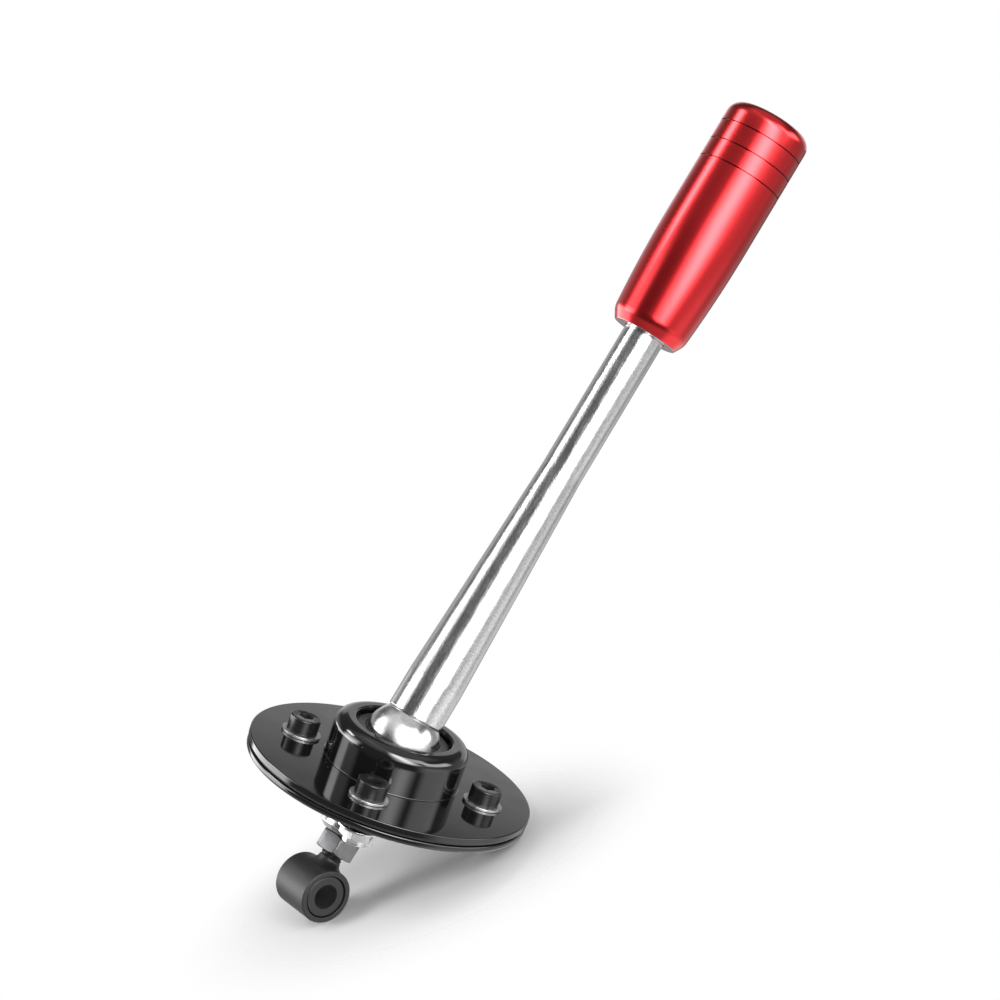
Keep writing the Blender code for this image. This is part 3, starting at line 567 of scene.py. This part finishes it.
def threadTree():
    # a rod with a helical thread: the radius falls and rises with the turn and the height
    sizes = (("Radius", 4.0), ("Depth", 0.6), ("Pitch", 1.25), ("Top", 1.0), ("Bottom", -1.0),
             ("Point", 0.6))
    inputs = [(name, "NodeSocketFloat", size) for name, size in sizes]
    inputs += [("Steps", "NodeSocketInt", 48), ("Rows", "NodeSocketInt", 40),
               ("Material", "NodeSocketMaterial", None)]
    tree, start, end = newGroup("threadedRod", "GeometryNodeTree", inputs, meshOut)
    value = start.outputs
    columns = maths(tree, "ADD", value["Steps"], 1.0)
    grid = node(tree, "GeometryNodeMeshGrid", {"Vertices X": columns, "Vertices Y": value["Rows"]})
    index = node(tree, "GeometryNodeInputIndex").outputs[0]
    column = maths(tree, "FLOOR", maths(tree, "DIVIDE", maths(tree, "ADD", index, 0.5), value["Rows"]))
    row = maths(tree, "SUBTRACT", index, maths(tree, "MULTIPLY", column, value["Rows"]))
    turns = maths(tree, "DIVIDE", column, value["Steps"])
    last = maths(tree, "SUBTRACT", value["Rows"], 3.0)
    share = node(tree, "ShaderNodeMath", operation="DIVIDE", use_clamp=True)
    tree.links.new(maths(tree, "SUBTRACT", row, 1.0), share.inputs[0])
    tree.links.new(last, share.inputs[1])
    length = maths(tree, "SUBTRACT", value["Top"], value["Bottom"])
    fromTop = maths(tree, "MULTIPLY", share.outputs[0], length)
    height = maths(tree, "SUBTRACT", value["Top"], fromTop)
    phase = maths(tree, "SUBTRACT", maths(tree, "DIVIDE", height, value["Pitch"]), turns)
    groove = maths(tree, "PINGPONG", phase, 0.5)
    depth = maths(tree, "MULTIPLY", maths(tree, "MULTIPLY", groove, 2.0), value["Depth"])
    thread = maths(tree, "SUBTRACT", value["Radius"], depth)
    fromBottom = maths(tree, "SUBTRACT", height, value["Bottom"])
    narrow = maths(tree, "ADD", maths(tree, "SUBTRACT", value["Radius"], value["Point"]), fromBottom)
    radius = maths(tree, "MINIMUM", thread, narrow)
    firstRow = maths(tree, "GREATER_THAN", row, 0.5)
    lastRow = maths(tree, "LESS_THAN", row, maths(tree, "SUBTRACT", value["Rows"], 1.5))
    radius = maths(tree, "MULTIPLY", radius, maths(tree, "MULTIPLY", firstRow, lastRow))
    angle = maths(tree, "MULTIPLY", turns, math.tau)
    x = maths(tree, "MULTIPLY", radius, maths(tree, "COSINE", angle))
    y = maths(tree, "MULTIPLY", radius, maths(tree, "SINE", angle))
    point = node(tree, "ShaderNodeCombineXYZ", {"X": x, "Y": y, "Z": height})
    placed = node(tree, "GeometryNodeSetPosition", {"Geometry": grid.outputs[0]})
    tree.links.new(point.outputs[0], placed.inputs["Position"])
    merged = node(tree, "GeometryNodeMergeByDistance", {"Geometry": placed.outputs[0], "Distance": weld})
    finishTree(tree, end, merged.outputs[0], value["Material"])
    return tree


def boltCircleTree():
    # the same fastener at even steps round a circle, each turned about its own axis by chance
    inputs = [("Geometry", "NodeSocketGeometry", None), ("Count", "NodeSocketInt", 4),
              ("Radius", "NodeSocketFloat", 0.0326), ("First Angle", "NodeSocketFloat", 0.785),
              ("Turn By Chance", "NodeSocketFloat", 1.0), ("Seed", "NodeSocketInt", 7)]
    tree, start, end = newGroup("boltCircle", "GeometryNodeTree", inputs, meshOut)
    value = start.outputs
    circle = node(tree, "GeometryNodeMeshCircle", {"Vertices": value["Count"], "Radius": value["Radius"]})
    firstTurn = node(tree, "ShaderNodeCombineXYZ", {"Z": value["First Angle"]})
    spun = node(tree, "GeometryNodeTransform", {"Geometry": circle.outputs[0]})
    tree.links.new(firstTurn.outputs[0], spun.inputs["Rotation"])
    chance = node(tree, "FunctionNodeRandomValue", {"Seed": value["Seed"]}, data_type="FLOAT")
    chance.inputs[2].default_value = 0.0
    chance.inputs[3].default_value = 1.0
    ownTurn = maths(tree, "MULTIPLY", chance.outputs[1], value["Turn By Chance"])
    turnVector = node(tree, "ShaderNodeCombineXYZ", {"Z": ownTurn})
    copies = node(tree, "GeometryNodeInstanceOnPoints", {"Points": spun.outputs[0]})
    tree.links.new(value["Geometry"], copies.inputs["Instance"])
    tree.links.new(turnVector.outputs[0], copies.inputs["Rotation"])
    whole = node(tree, "GeometryNodeRealizeInstances", {"Geometry": copies.outputs[0]})
    tree.links.new(whole.outputs[0], end.inputs[0])
    return tree


turnedTree = turnTree()
threadedRodTree = threadTree()
boltTree = boltCircleTree()
print("geometry node trees made")

# mesh helpers


def addObject(name, mesh):
    made = bpy.data.objects.new(name, mesh)
    scene.collection.objects.link(made)
    return made


def settled(thing):
    # the evaluated mesh alone, with the helper object removed
    bpy.context.view_layer.update()
    graph = bpy.context.evaluated_depsgraph_get()
    mesh = bpy.data.meshes.new_from_object(thing.evaluated_get(graph))
    bpy.data.objects.remove(thing)
    return mesh


def throughNodes(mesh, tree, values):
    thing = addObject("working", mesh)
    modifier = thing.modifiers.new("nodes", "NODES")
    modifier.node_group = tree
    for item in tree.interface.items_tree:
        if item.item_type == "SOCKET" and item.in_out == "INPUT" and item.name in values:
            modifier[item.identifier] = values[item.name]
    return settled(thing)


def outwards(mesh):
    shape = bmesh.new()
    shape.from_mesh(mesh)
    bmesh.ops.remove_doubles(shape, verts=shape.verts, dist=1e-6)
    bmesh.ops.recalc_face_normals(shape, faces=shape.faces)
    shape.to_mesh(mesh)
    shape.free()
    return mesh


def turned(profile, material, steps=128, closed=False):
    points = [(r * mm, 0, z * mm) for r, z in profile]
    if closed:
        points.append(points[0])
    mesh = bpy.data.meshes.new("profile")
    mesh.from_pydata(points, [(i, i + 1) for i in range(len(points) - 1)], [])
    values = {"Steps": steps, "Rows": len(points), "Material": materials[material]}
    return outwards(throughNodes(mesh, turnedTree, values))


flatGuard = 0.04


def rounded(corners, count=5, closed=False):
    # each corner is (r, z) or (r, z, rounding radius)
    points = []
    total = len(corners)
    for i, corner in enumerate(corners):
        here = Vector(corner[:2])
        radius = corner[2] if len(corner) > 2 else 0
        if not radius or (not closed and i in (0, total - 1)):
            points.append(tuple(here))
            continue
        before = (Vector(corners[i - 1][:2]) - here).normalized()
        after = (Vector(corners[(i + 1) % total][:2]) - here).normalized()
        half = before.angle(after) / 2
        reach = radius / math.tan(half)
        middle = here + (before + after).normalized() * (radius / math.sin(half))
        first = here + before * reach - middle
        last = here + after * reach - middle
        sweep = first.angle_signed(last)
        # a point just outside each end of the arc keeps the shading of the flats flat
        points.append(tuple(middle + first + before * flatGuard))
        for k in range(count + 1):
            spin = Matrix.Rotation(-sweep * k / count, 2)
            points.append(tuple(middle + spin @ first))
        points.append(tuple(middle + last + after * flatGuard))
    return points


def arc(r, z, radius, start, end, count):
    turn = [math.radians(start + (end - start) * i / count) for i in range(count + 1)]
    return [(r + radius * math.cos(a), z + radius * math.sin(a)) for a in turn]


def prism(sides, radius, bottom, top, turn=0.0):
    mesh = bpy.data.meshes.new("prism")
    shape = bmesh.new()
    bmesh.ops.create_cone(shape, cap_ends=True, segments=sides, radius1=radius * mm, radius2=radius * mm,
                          depth=(top - bottom) * mm)
    shape.transform(Matrix.Translation((0, 0, (top + bottom) / 2 * mm)) @ Matrix.Rotation(turn, 4, "Z"))
    shape.to_mesh(mesh)
    shape.free()
    return mesh


def moved(mesh, matrix):
    mesh.transform(matrix)
    return mesh


def boolean(mesh, other, operation):
    thing = addObject("working", mesh)
    tool = addObject("tool", other)
    modifier = thing.modifiers.new("cut", "BOOLEAN")
    modifier.operation = operation
    modifier.solver = "EXACT"
    modifier.object = tool
    result = settled(thing)
    bpy.data.objects.remove(tool)
    return result


def softened(mesh, width, segments=2, angle=35):
    thing = addObject("working", mesh)
    modifier = thing.modifiers.new("soft edge", "BEVEL")
    modifier.width = width * mm
    modifier.segments = segments
    modifier.limit_method = "ANGLE"
    modifier.angle_limit = math.radians(angle)
    modifier.harden_normals = False
    return settled(thing)


def joined(*meshes):
    shape = bmesh.new()
    for mesh in meshes:
        shape.from_mesh(mesh)
    result = bpy.data.meshes.new("joined")
    shape.to_mesh(result)
    shape.free()
    return result


def piece(name, mesh, material, body, place, nodes, sharp=38):
    # stores the upright point in millimetres for the materials, then sets the mesh in its place
    points = mesh.attributes.new("ownPoint", "FLOAT_VECTOR", "POINT")
    flat = [c / mm for v in mesh.vertices for c in v.co]
    points.data.foreach_set("vector", flat)
    mesh.transform(place)
    mesh.materials.clear()
    mesh.materials.append(materials[material])
    mesh.name = name
    mesh.shade_smooth()
    mesh.set_sharp_from_angle(angle=math.radians(sharp))
    made = addObject(name, mesh)
    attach(made, body)
    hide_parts(*nodes)
    return made


# plates and housing

plates = {"radius": 49.0, "baseThick": 2.4, "baseHole": 20.5, "gasketHole": 21.5, "gasketRadius": 48.2,
          "gasketBottom": 2.7, "gasketTop": 3.1, "flangeBottom": 3.4, "flangeTop": 5.6,
          "boltCircle": 32.6, "boltHole": 3.3}
cup = {"radius": 23.3, "top": 20.4, "rim": 3.9, "bore": 19.6, "lip": 16.8, "lipUnder": 17.6,
       "grooveRadius": 20.9, "grooveBottom": 3.6, "grooveTop": 5.2}


def boltHoles(bottom, top):
    values = {"Count": 4, "Radius": plates["boltCircle"] * mm, "Turn By Chance": 0.0}
    return throughNodes(prism(48, plates["boltHole"], bottom - 1, top + 1), boltTree, values)


def makeBasePlate():
    corners = [
        (plates["baseHole"], plates["baseThick"], 0.3),
        (plates["radius"] - 0.2, plates["baseThick"], 0.5),
        (plates["radius"] - 0.2, 0, 1.1),
        (plates["baseHole"], 0, 0.3),
    ]
    mesh = turned(rounded(corners, 5, True), "blackGloss", 192, True)
    mesh = boolean(mesh, boltHoles(0, plates["baseThick"]), "DIFFERENCE")
    piece("basePlate", mesh, "blackGloss", "housing", upright, ["base_plate"])


def makeGasket():
    corners = [(plates["gasketHole"], plates["gasketTop"]), (plates["gasketRadius"], plates["gasketTop"]),
               (plates["gasketRadius"], plates["gasketBottom"]),
               (plates["gasketHole"], plates["gasketBottom"])]
    mesh = turned(rounded(corners, 1, True), "blackRubber", 96, True)
    mesh = boolean(mesh, boltHoles(plates["gasketBottom"], plates["gasketTop"]), "DIFFERENCE")
    piece("gasket", mesh, "blackRubber", "housing", upright, ["gasket"])


def makeHousing():
    corners = [
        (cup["lip"], cup["top"], 0.6),
        (cup["radius"], cup["top"], cup["rim"]),
        (cup["radius"], plates["flangeTop"], 0.35),
        (plates["radius"], plates["flangeTop"], 0.3),
        (plates["radius"], plates["flangeBottom"], 0.25),
        (cup["bore"], plates["flangeBottom"]),
        (cup["bore"], cup["grooveBottom"]),
        (cup["grooveRadius"], cup["grooveBottom"]),
        (cup["grooveRadius"], cup["grooveTop"]),
        (cup["bore"], cup["grooveTop"]),
        (cup["bore"], cup["lipUnder"]),
        (cup["lip"], cup["lipUnder"], 0.2),
    ]
    mesh = turned(rounded(corners, 10, True), "blackGloss", 192, True)
    mesh = boolean(mesh, boltHoles(plates["flangeBottom"], plates["flangeTop"]), "DIFFERENCE")
    piece("ballHousing", mesh, "blackGloss", "housing", upright, ["ball_housing"])


makeBasePlate()
makeGasket()
makeHousing()
print("plates and housing made")

# seats round the ball

seats = {"sphere": 13.3, "outer": 19.3, "neck": 15.9, "top": 18.4, "mouth": 16.4, "bottom": 8.0,
         "band": 3.2, "split": 0.15, "lipRadius": 13.08, "slotWidth": 2.7,
         "slotFrom": 11.0, "slotReach": 14.6, "slotHalf": 3.5}


def onSphere(low, high, count):
    middle = pose["pivotHeight"]
    heights = [low + (high - low) * i / count for i in range(count + 1)]
    return [(math.sqrt(seats["sphere"] ** 2 - (z - middle) ** 2), z) for z in heights]


def pinSlot():
    shape = bmesh.new()
    bmesh.ops.create_cube(shape, size=1.0)
    reach = (seats["slotReach"] - seats["slotFrom"]) * mm
    size = Matrix.Diagonal((reach, seats["slotWidth"] * mm, 2 * seats["slotHalf"] * mm, 1))
    middle = Vector((-(seats["slotReach"] + seats["slotFrom"]) / 2, 0, pose["pivotHeight"])) * mm
    shape.transform(Matrix.Translation(middle) @ size)
    mesh = bpy.data.meshes.new("slot")
    shape.to_mesh(mesh)
    shape.free()
    return mesh


def makeSeats():
    middle = pose["pivotHeight"]
    shoulder = cup["lipUnder"] - 0.3
    split = seats["split"]  # half the gap between the two seats
    lip = rounded([(seats["neck"], shoulder), (seats["neck"], seats["top"], 0.35),
                   (seats["lipRadius"], seats["top"])], 4)
    profile = lip[-2::-1] + [(seats["outer"], shoulder), (seats["outer"], middle + split)]
    profile += onSphere(middle + split, seats["top"], 10)
    mesh = boolean(turned(profile, "blackNylon", 128, True), pinSlot(), "DIFFERENCE")
    piece("upperSeat", mesh, "blackNylon", "housing", upright, ["upper_seat"])
    profile = [(seats["outer"], middle - split), (seats["outer"], seats["bottom"]),
               (seats["mouth"], seats["bottom"])]
    profile += onSphere(middle - seats["band"], middle - split, 12)
    mesh = boolean(turned(profile, "blackNylon", 96, True), pinSlot(), "DIFFERENCE")
    piece("lowerSeat", mesh, "blackNylon", "housing", upright, ["lower_seat"])


makeSeats()
print("seats made")

# fasteners

screw = {"headRadius": 5.3, "headBottom": 6.56, "headTop": 11.9, "edge": 0.45, "socketFlats": 4.6,
         "socketDepth": 2.7, "threadRadius": 3.0, "threadDepth": 0.55, "pitch": 1.0, "tip": -11.2}
washer = {"radius": 6.7, "hole": 3.3, "bottom": 5.64, "top": 6.52, "edge": 0.15}
nut = {"corners": 11.7, "flats": 10.4, "top": -4.3, "hexBottom": -8.3, "bottom": -10.6, "flange": 7.1,
       "flangeRim": 0.7, "collar": 3.95, "bore": 3.15}


def hexBody(flats, bottom, top, chamferTop, chamferBottom, corners):
    # a hexagon whose corners are turned off by a cone at the ends that are chamfered
    corner = flats / 2 / math.cos(math.radians(30))
    face = flats / 2 * 0.96
    beyond = corner + 0.6
    slope = (beyond - face) * math.tan(math.radians(30))
    outline = [(0, top)]
    outline += [(face, top), (beyond, top - slope)] if chamferTop else [(beyond, top)]
    outline += [(beyond, bottom + slope), (face, bottom)] if chamferBottom else [(beyond, bottom)]
    outline.append((0, bottom))
    blank = prism(6, corner, bottom - 0.3, top + 0.3, math.radians(corners - 30))
    return boolean(blank, turned(outline, "brightZinc", 96), "INTERSECT")


def onBolts(mesh, seed, chance):
    values = {"Count": 4, "Radius": plates["boltCircle"] * mm, "First Angle": math.radians(45),
              "Turn By Chance": chance, "Seed": seed}
    return throughNodes(mesh, boltTree, values)


def makeScrews():
    corners = [
        (0, screw["headTop"]),
        (screw["headRadius"], screw["headTop"], screw["edge"]),
        (screw["headRadius"], screw["headBottom"], 0.15),
        (2.7, screw["headBottom"]),
        (2.7, screw["headBottom"] - 0.05),
        (0, screw["headBottom"] - 0.05),
    ]
    head = turned(rounded(corners, 5), "blackScrew", 96)
    wide = screw["socketFlats"] / 2 / math.cos(math.radians(30))
    socket = prism(6, wide, screw["headTop"] - screw["socketDepth"], screw["headTop"] + 1)
    head = softened(boolean(head, socket, "DIFFERENCE"), 0.12, 2, 50)
    values = {"Radius": screw["threadRadius"] * mm, "Depth": screw["threadDepth"] * mm,
              "Pitch": screw["pitch"] * mm, "Top": (screw["headBottom"] - 0.05) * mm,
              "Bottom": screw["tip"] * mm, "Point": 0.7 * mm, "Steps": 32, "Rows": 150,
              "Material": materials["blackScrew"]}
    thread = outwards(throughNodes(bpy.data.meshes.new("thread"), threadedRodTree, values))
    mesh = onBolts(joined(head, thread), 3, math.radians(60))
    nodes = [f"socket_screw_{i}" for i in range(1, 5)]
    piece("socketScrews", mesh, "blackScrew", "housing", upright, nodes)


def makeWashers():
    edge = washer["edge"]
    corners = [(washer["hole"], washer["top"], 0.1), (washer["radius"], washer["top"], edge),
               (washer["radius"], washer["bottom"], edge), (washer["hole"], washer["bottom"], 0.1)]
    mesh = onBolts(turned(rounded(corners, 4, True), "washerZinc", 96, True), 5, 6.0)
    nodes = [f"screw_washer_{i}" for i in range(1, 5)]
    piece("screwWashers", mesh, "washerZinc", "housing", upright, nodes)


def makeFlangeNuts():
    body = hexBody(nut["flats"], nut["hexBottom"], nut["top"] - 0.4, False, True, nut["corners"])
    cone = rounded([(0, nut["top"]), (nut["flange"], nut["top"], 0.2),
                    (nut["flange"], nut["top"] - nut["flangeRim"], 0.2),
                    (nut["flats"] / 2 * 0.98, nut["top"] - 1.5), (0, nut["top"] - 1.5)], 4)
    mesh = boolean(body, turned(cone, "brightZinc", 96), "UNION")
    collar = rounded([(0, nut["hexBottom"] + 0.5), (nut["collar"], nut["hexBottom"] + 0.5),
                      (nut["collar"], nut["bottom"], 0.5), (0, nut["bottom"])], 4)
    mesh = boolean(mesh, turned(collar, "brightZinc", 64), "UNION")
    mesh = boolean(mesh, prism(48, nut["bore"], nut["bottom"] - 1, nut["top"] + 1), "DIFFERENCE")
    mesh = onBolts(softened(mesh, 0.15, 2, 28), 11, 0.0)
    nodes = [f"flange_nut_{i}" for i in range(1, 5)]
    piece("flangeNuts", mesh, "brightZinc", "housing", upright, nodes, 30)


makeScrews()
makeWashers()
makeFlangeNuts()
print("fasteners made")

# the lever, from the ball up

ball = {"radius": 13.0, "spigot": 5.0, "spigotTop": 22.0, "shank": 9.75, "shankChamfer": -35.2,
        "shankEnd": -36.8, "shankEndRadius": 7.6, "bore": 4.25, "boreTop": -22.0, "pinHole": 1.3}
shaft = {"lower": 9.88, "upper": 7.2, "taperStart": 22.5, "taperEnd": 104.0, "shoulder": 163.0,
         "stud": 5.0, "studTop": 190.0, "bore": 5.3, "boreTop": 24.0, "seat": 13.3}
grip = {"bottom": 158.2, "chamferTop": 161.8, "bottomRadius": 11.5, "lowRadius": 13.55, "radius": 15.2,
        "taperEnd": 200.0, "top": 243.2, "topRound": 4.6, "dome": 0.35, "grooves": (234.2, 227.2, 220.4),
        "grooveHalf": 0.22, "grooveDepth": 0.6, "grooveShoulder": 0.4, "lowRound": 6.0, "lowStart": 1.9,
        "taperStop": 2.3, "boreTop": 192.0, "clearance": 0.3}


def makeBall():
    foot = math.degrees(math.atan2(math.sqrt(ball["radius"] ** 2 - ball["spigot"] ** 2), ball["spigot"]))
    end = -math.degrees(math.acos(ball["shank"] / ball["radius"]))
    profile = [(0, ball["spigotTop"]), (ball["spigot"], ball["spigotTop"])]
    profile += arc(0, 0, ball["radius"], foot, end, 56)
    profile += rounded([(ball["shank"], -9), (ball["shank"], ball["shankChamfer"], 0.4),
                        (ball["shankEndRadius"], ball["shankEnd"], 0.3), (ball["bore"], ball["shankEnd"]),
                        (ball["bore"], ball["boreTop"]), (0, ball["boreTop"] + 2.4)], 4)
    mesh = turned(profile, "ballChrome", 160)
    hole = moved(prism(32, ball["pinHole"], -15, 11.3), layAlongX)
    mesh = boolean(mesh, hole, "DIFFERENCE")
    piece("pivotBall", mesh, "ballChrome", "lever", leverPlace, ["pivot_ball"], 32)


def makeShaft():
    start = math.degrees(math.acos(shaft["lower"] / shaft["seat"]))
    end = math.degrees(math.acos(shaft["bore"] / shaft["seat"]))
    foot = shaft["seat"] * math.sin(math.radians(start))
    corners = [(0, shaft["studTop"]), (shaft["stud"], shaft["studTop"], 0.4),
               (shaft["stud"], shaft["shoulder"]), (shaft["upper"], shaft["shoulder"], 0.4),
               (shaft["upper"], shaft["taperEnd"], 60.0), (shaft["lower"], shaft["taperStart"], 20.0),
               (shaft["lower"], foot, 0.3), (shaft["lower"] - 1.0, foot + 0.75)]
    profile = rounded(corners, 4)[:-1]
    profile += arc(0, 0, shaft["seat"], start + 5, end, 6)
    profile += [(shaft["bore"], shaft["boreTop"]), (0, shaft["boreTop"] + 3)]
    mesh = turned(profile, "shaftChrome", 160)
    piece("leverShaft", mesh, "shaftChrome", "lever", leverPlace, ["lever_shaft"], 32)


def gripRadius(height):
    below = max(0.0, grip["taperEnd"] - height) / (grip["taperEnd"] - grip["chamferTop"])
    return grip["radius"] - (grip["radius"] - grip["lowRadius"]) * below ** 2


def makeGrip():
    edge = grip["topRound"]
    flat = grip["radius"] - edge
    profile = [(flat * i / 4, grip["top"] - grip["dome"] * (i / 4) ** 2) for i in range(4)]
    profile += arc(flat, grip["top"] - grip["dome"] - edge, edge, 90, 0, 12)
    half = grip["grooveHalf"]
    shoulder = grip["grooveShoulder"]  # keeps the shading beside a groove flat
    deep = grip["radius"] - grip["grooveDepth"]
    for height in grip["grooves"]:
        profile += [(grip["radius"], height + half + shoulder), (grip["radius"], height + half),
                    (deep, height + half * 0.8), (deep, height - half * 0.8),
                    (grip["radius"], height - half), (grip["radius"], height - half - shoulder)]
    steps = 24
    span = grip["taperEnd"] - grip["chamferTop"] - grip["taperStop"]
    for i in range(steps):
        height = grip["taperEnd"] - span * i / steps
        profile.append((gripRadius(height), height))
    gap = grip["clearance"]
    low = grip["chamferTop"] + grip["lowStart"]
    shaftBore = shaft["upper"] + gap
    studBore = shaft["stud"] + gap
    shoulderTop = shaft["shoulder"] + gap
    profile += rounded([(gripRadius(low), low), (grip["lowRadius"], grip["chamferTop"], grip["lowRound"]),
                        (grip["bottomRadius"], grip["bottom"], 0.2), (shaftBore, grip["bottom"], 0.2),
                        (shaftBore, shoulderTop), (studBore, shoulderTop), (studBore, grip["boreTop"]),
                        (0, grip["boreTop"] + 3)], 5)
    mesh = turned(profile, "redAnodised", 192)
    piece("knob", mesh, "redAnodised", "lever", leverPlace, ["knob"], 40)


makeBall()
makeShaft()
makeGrip()
print("ball, shaft and grip made")

# the lever, from the ball down

lockNut = {"corners": 21.4, "flats": 13.0, "top": -37.1, "height": 6.4, "bore": 4.2}
eye = {"centre": -56.5, "radius": 9.2, "half": 8.8, "bore": 7.35, "edge": 0.5, "neck": 3.9,
       "neckTop": -45.4, "flareAlong": 7.4, "flareAcross": 5.8, "threadRadius": 3.95, "threadDepth": 0.6,
       "pitch": 1.25, "threadTop": -25.0, "threadBottom": -45.6}
bush = {"radius": 7.05, "half": 8.5, "bore": 4.15, "edge": 0.45}


def makeLockNut():
    bottom = lockNut["top"] - lockNut["height"]
    mesh = hexBody(lockNut["flats"], bottom, lockNut["top"], True, True, lockNut["corners"])
    mesh = boolean(mesh, prism(48, lockNut["bore"], bottom - 1, lockNut["top"] + 1), "DIFFERENCE")
    mesh = softened(mesh, 0.2, 2, 28)
    piece("lockNut", mesh, "dullZinc", "lever", leverPlace, ["lock_nut"], 30)


def tube(outer, inner, half, edge, material, steps):
    corners = [(inner, half, 0.15), (outer, half, edge), (outer, -half, edge), (inner, -half, 0.15)]
    return turned(rounded(corners, 5, True), material, steps, True)


def makeNeck():
    # the stud's root spreads over the barrel: a quarter ellipse at every angle, tangent to the barrel
    around, rise = 72, 10
    shape = bmesh.new()
    rings = []
    for k in range(rise + 3):
        fall = math.radians(90 * min(k / rise, 1))
        sunk = 0.25 * max(k - rise, 0)
        ring = []
        for i in range(around):
            a = math.tau * i / around
            wide = math.hypot(eye["flareAlong"] * math.cos(a), eye["flareAcross"] * math.sin(a))
            r = eye["neck"] + (wide - eye["neck"]) * (1 - math.cos(fall)) - 0.6 * sunk
            x, y = r * math.cos(a), r * math.sin(a)
            barrel = eye["centre"] + math.sqrt(eye["radius"] ** 2 - y ** 2)
            z = barrel + (eye["neckTop"] - barrel) * (1 - math.sin(fall)) - sunk
            ring.append(shape.verts.new((x * mm, y * mm, z * mm)))
        rings.append(ring)
    for upper, lower in zip(rings, rings[1:]):
        for i in range(around):
            j = (i + 1) % around
            shape.faces.new((upper[i], upper[j], lower[j], lower[i]))
    shape.faces.new(rings[0])
    shape.faces.new(rings[-1])
    mesh = bpy.data.meshes.new("neck")
    shape.to_mesh(mesh)
    shape.free()
    return outwards(mesh)


def makeEyelet():
    middle = Matrix.Translation((0, 0, eye["centre"] * mm))
    barrel = tube(eye["radius"], eye["bore"], eye["half"], eye["edge"], "blackSteel", 160)
    barrel = moved(barrel, middle @ layAlongX)
    mesh = boolean(barrel, makeNeck(), "UNION")
    values = {"Radius": eye["threadRadius"] * mm, "Depth": eye["threadDepth"] * mm,
              "Pitch": eye["pitch"] * mm, "Top": eye["threadTop"] * mm,
              "Bottom": (eye["threadBottom"] + 0.2) * mm, "Point": 0.0, "Steps": 48, "Rows": 130,
              "Material": materials["blackSteel"]}
    thread = outwards(throughNodes(bpy.data.meshes.new("thread"), threadedRodTree, values))
    piece("eyelet", joined(mesh, thread), "blackSteel", "lever", leverPlace, ["eyelet"], 40)


def makeBush():
    mesh = tube(bush["radius"], bush["bore"], bush["half"], bush["edge"], "greyNylon", 128)
    mesh = moved(mesh, Matrix.Translation((0, 0, eye["centre"] * mm)) @ layAlongX)
    piece("eyeletBush", mesh, "greyNylon", "lever", leverPlace, ["eyelet_bush"])


makeLockNut()
makeEyelet()
makeBush()
print("lock nut, eyelet and bush made")

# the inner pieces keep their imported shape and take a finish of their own
innerPieces = ("wave_spring", "circlip", "cross_pin")

for name in innerPieces:
    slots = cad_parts[name].data.materials
    slots.clear()
    slots.append(materials["innerSteel"])
print("inner pieces finished")
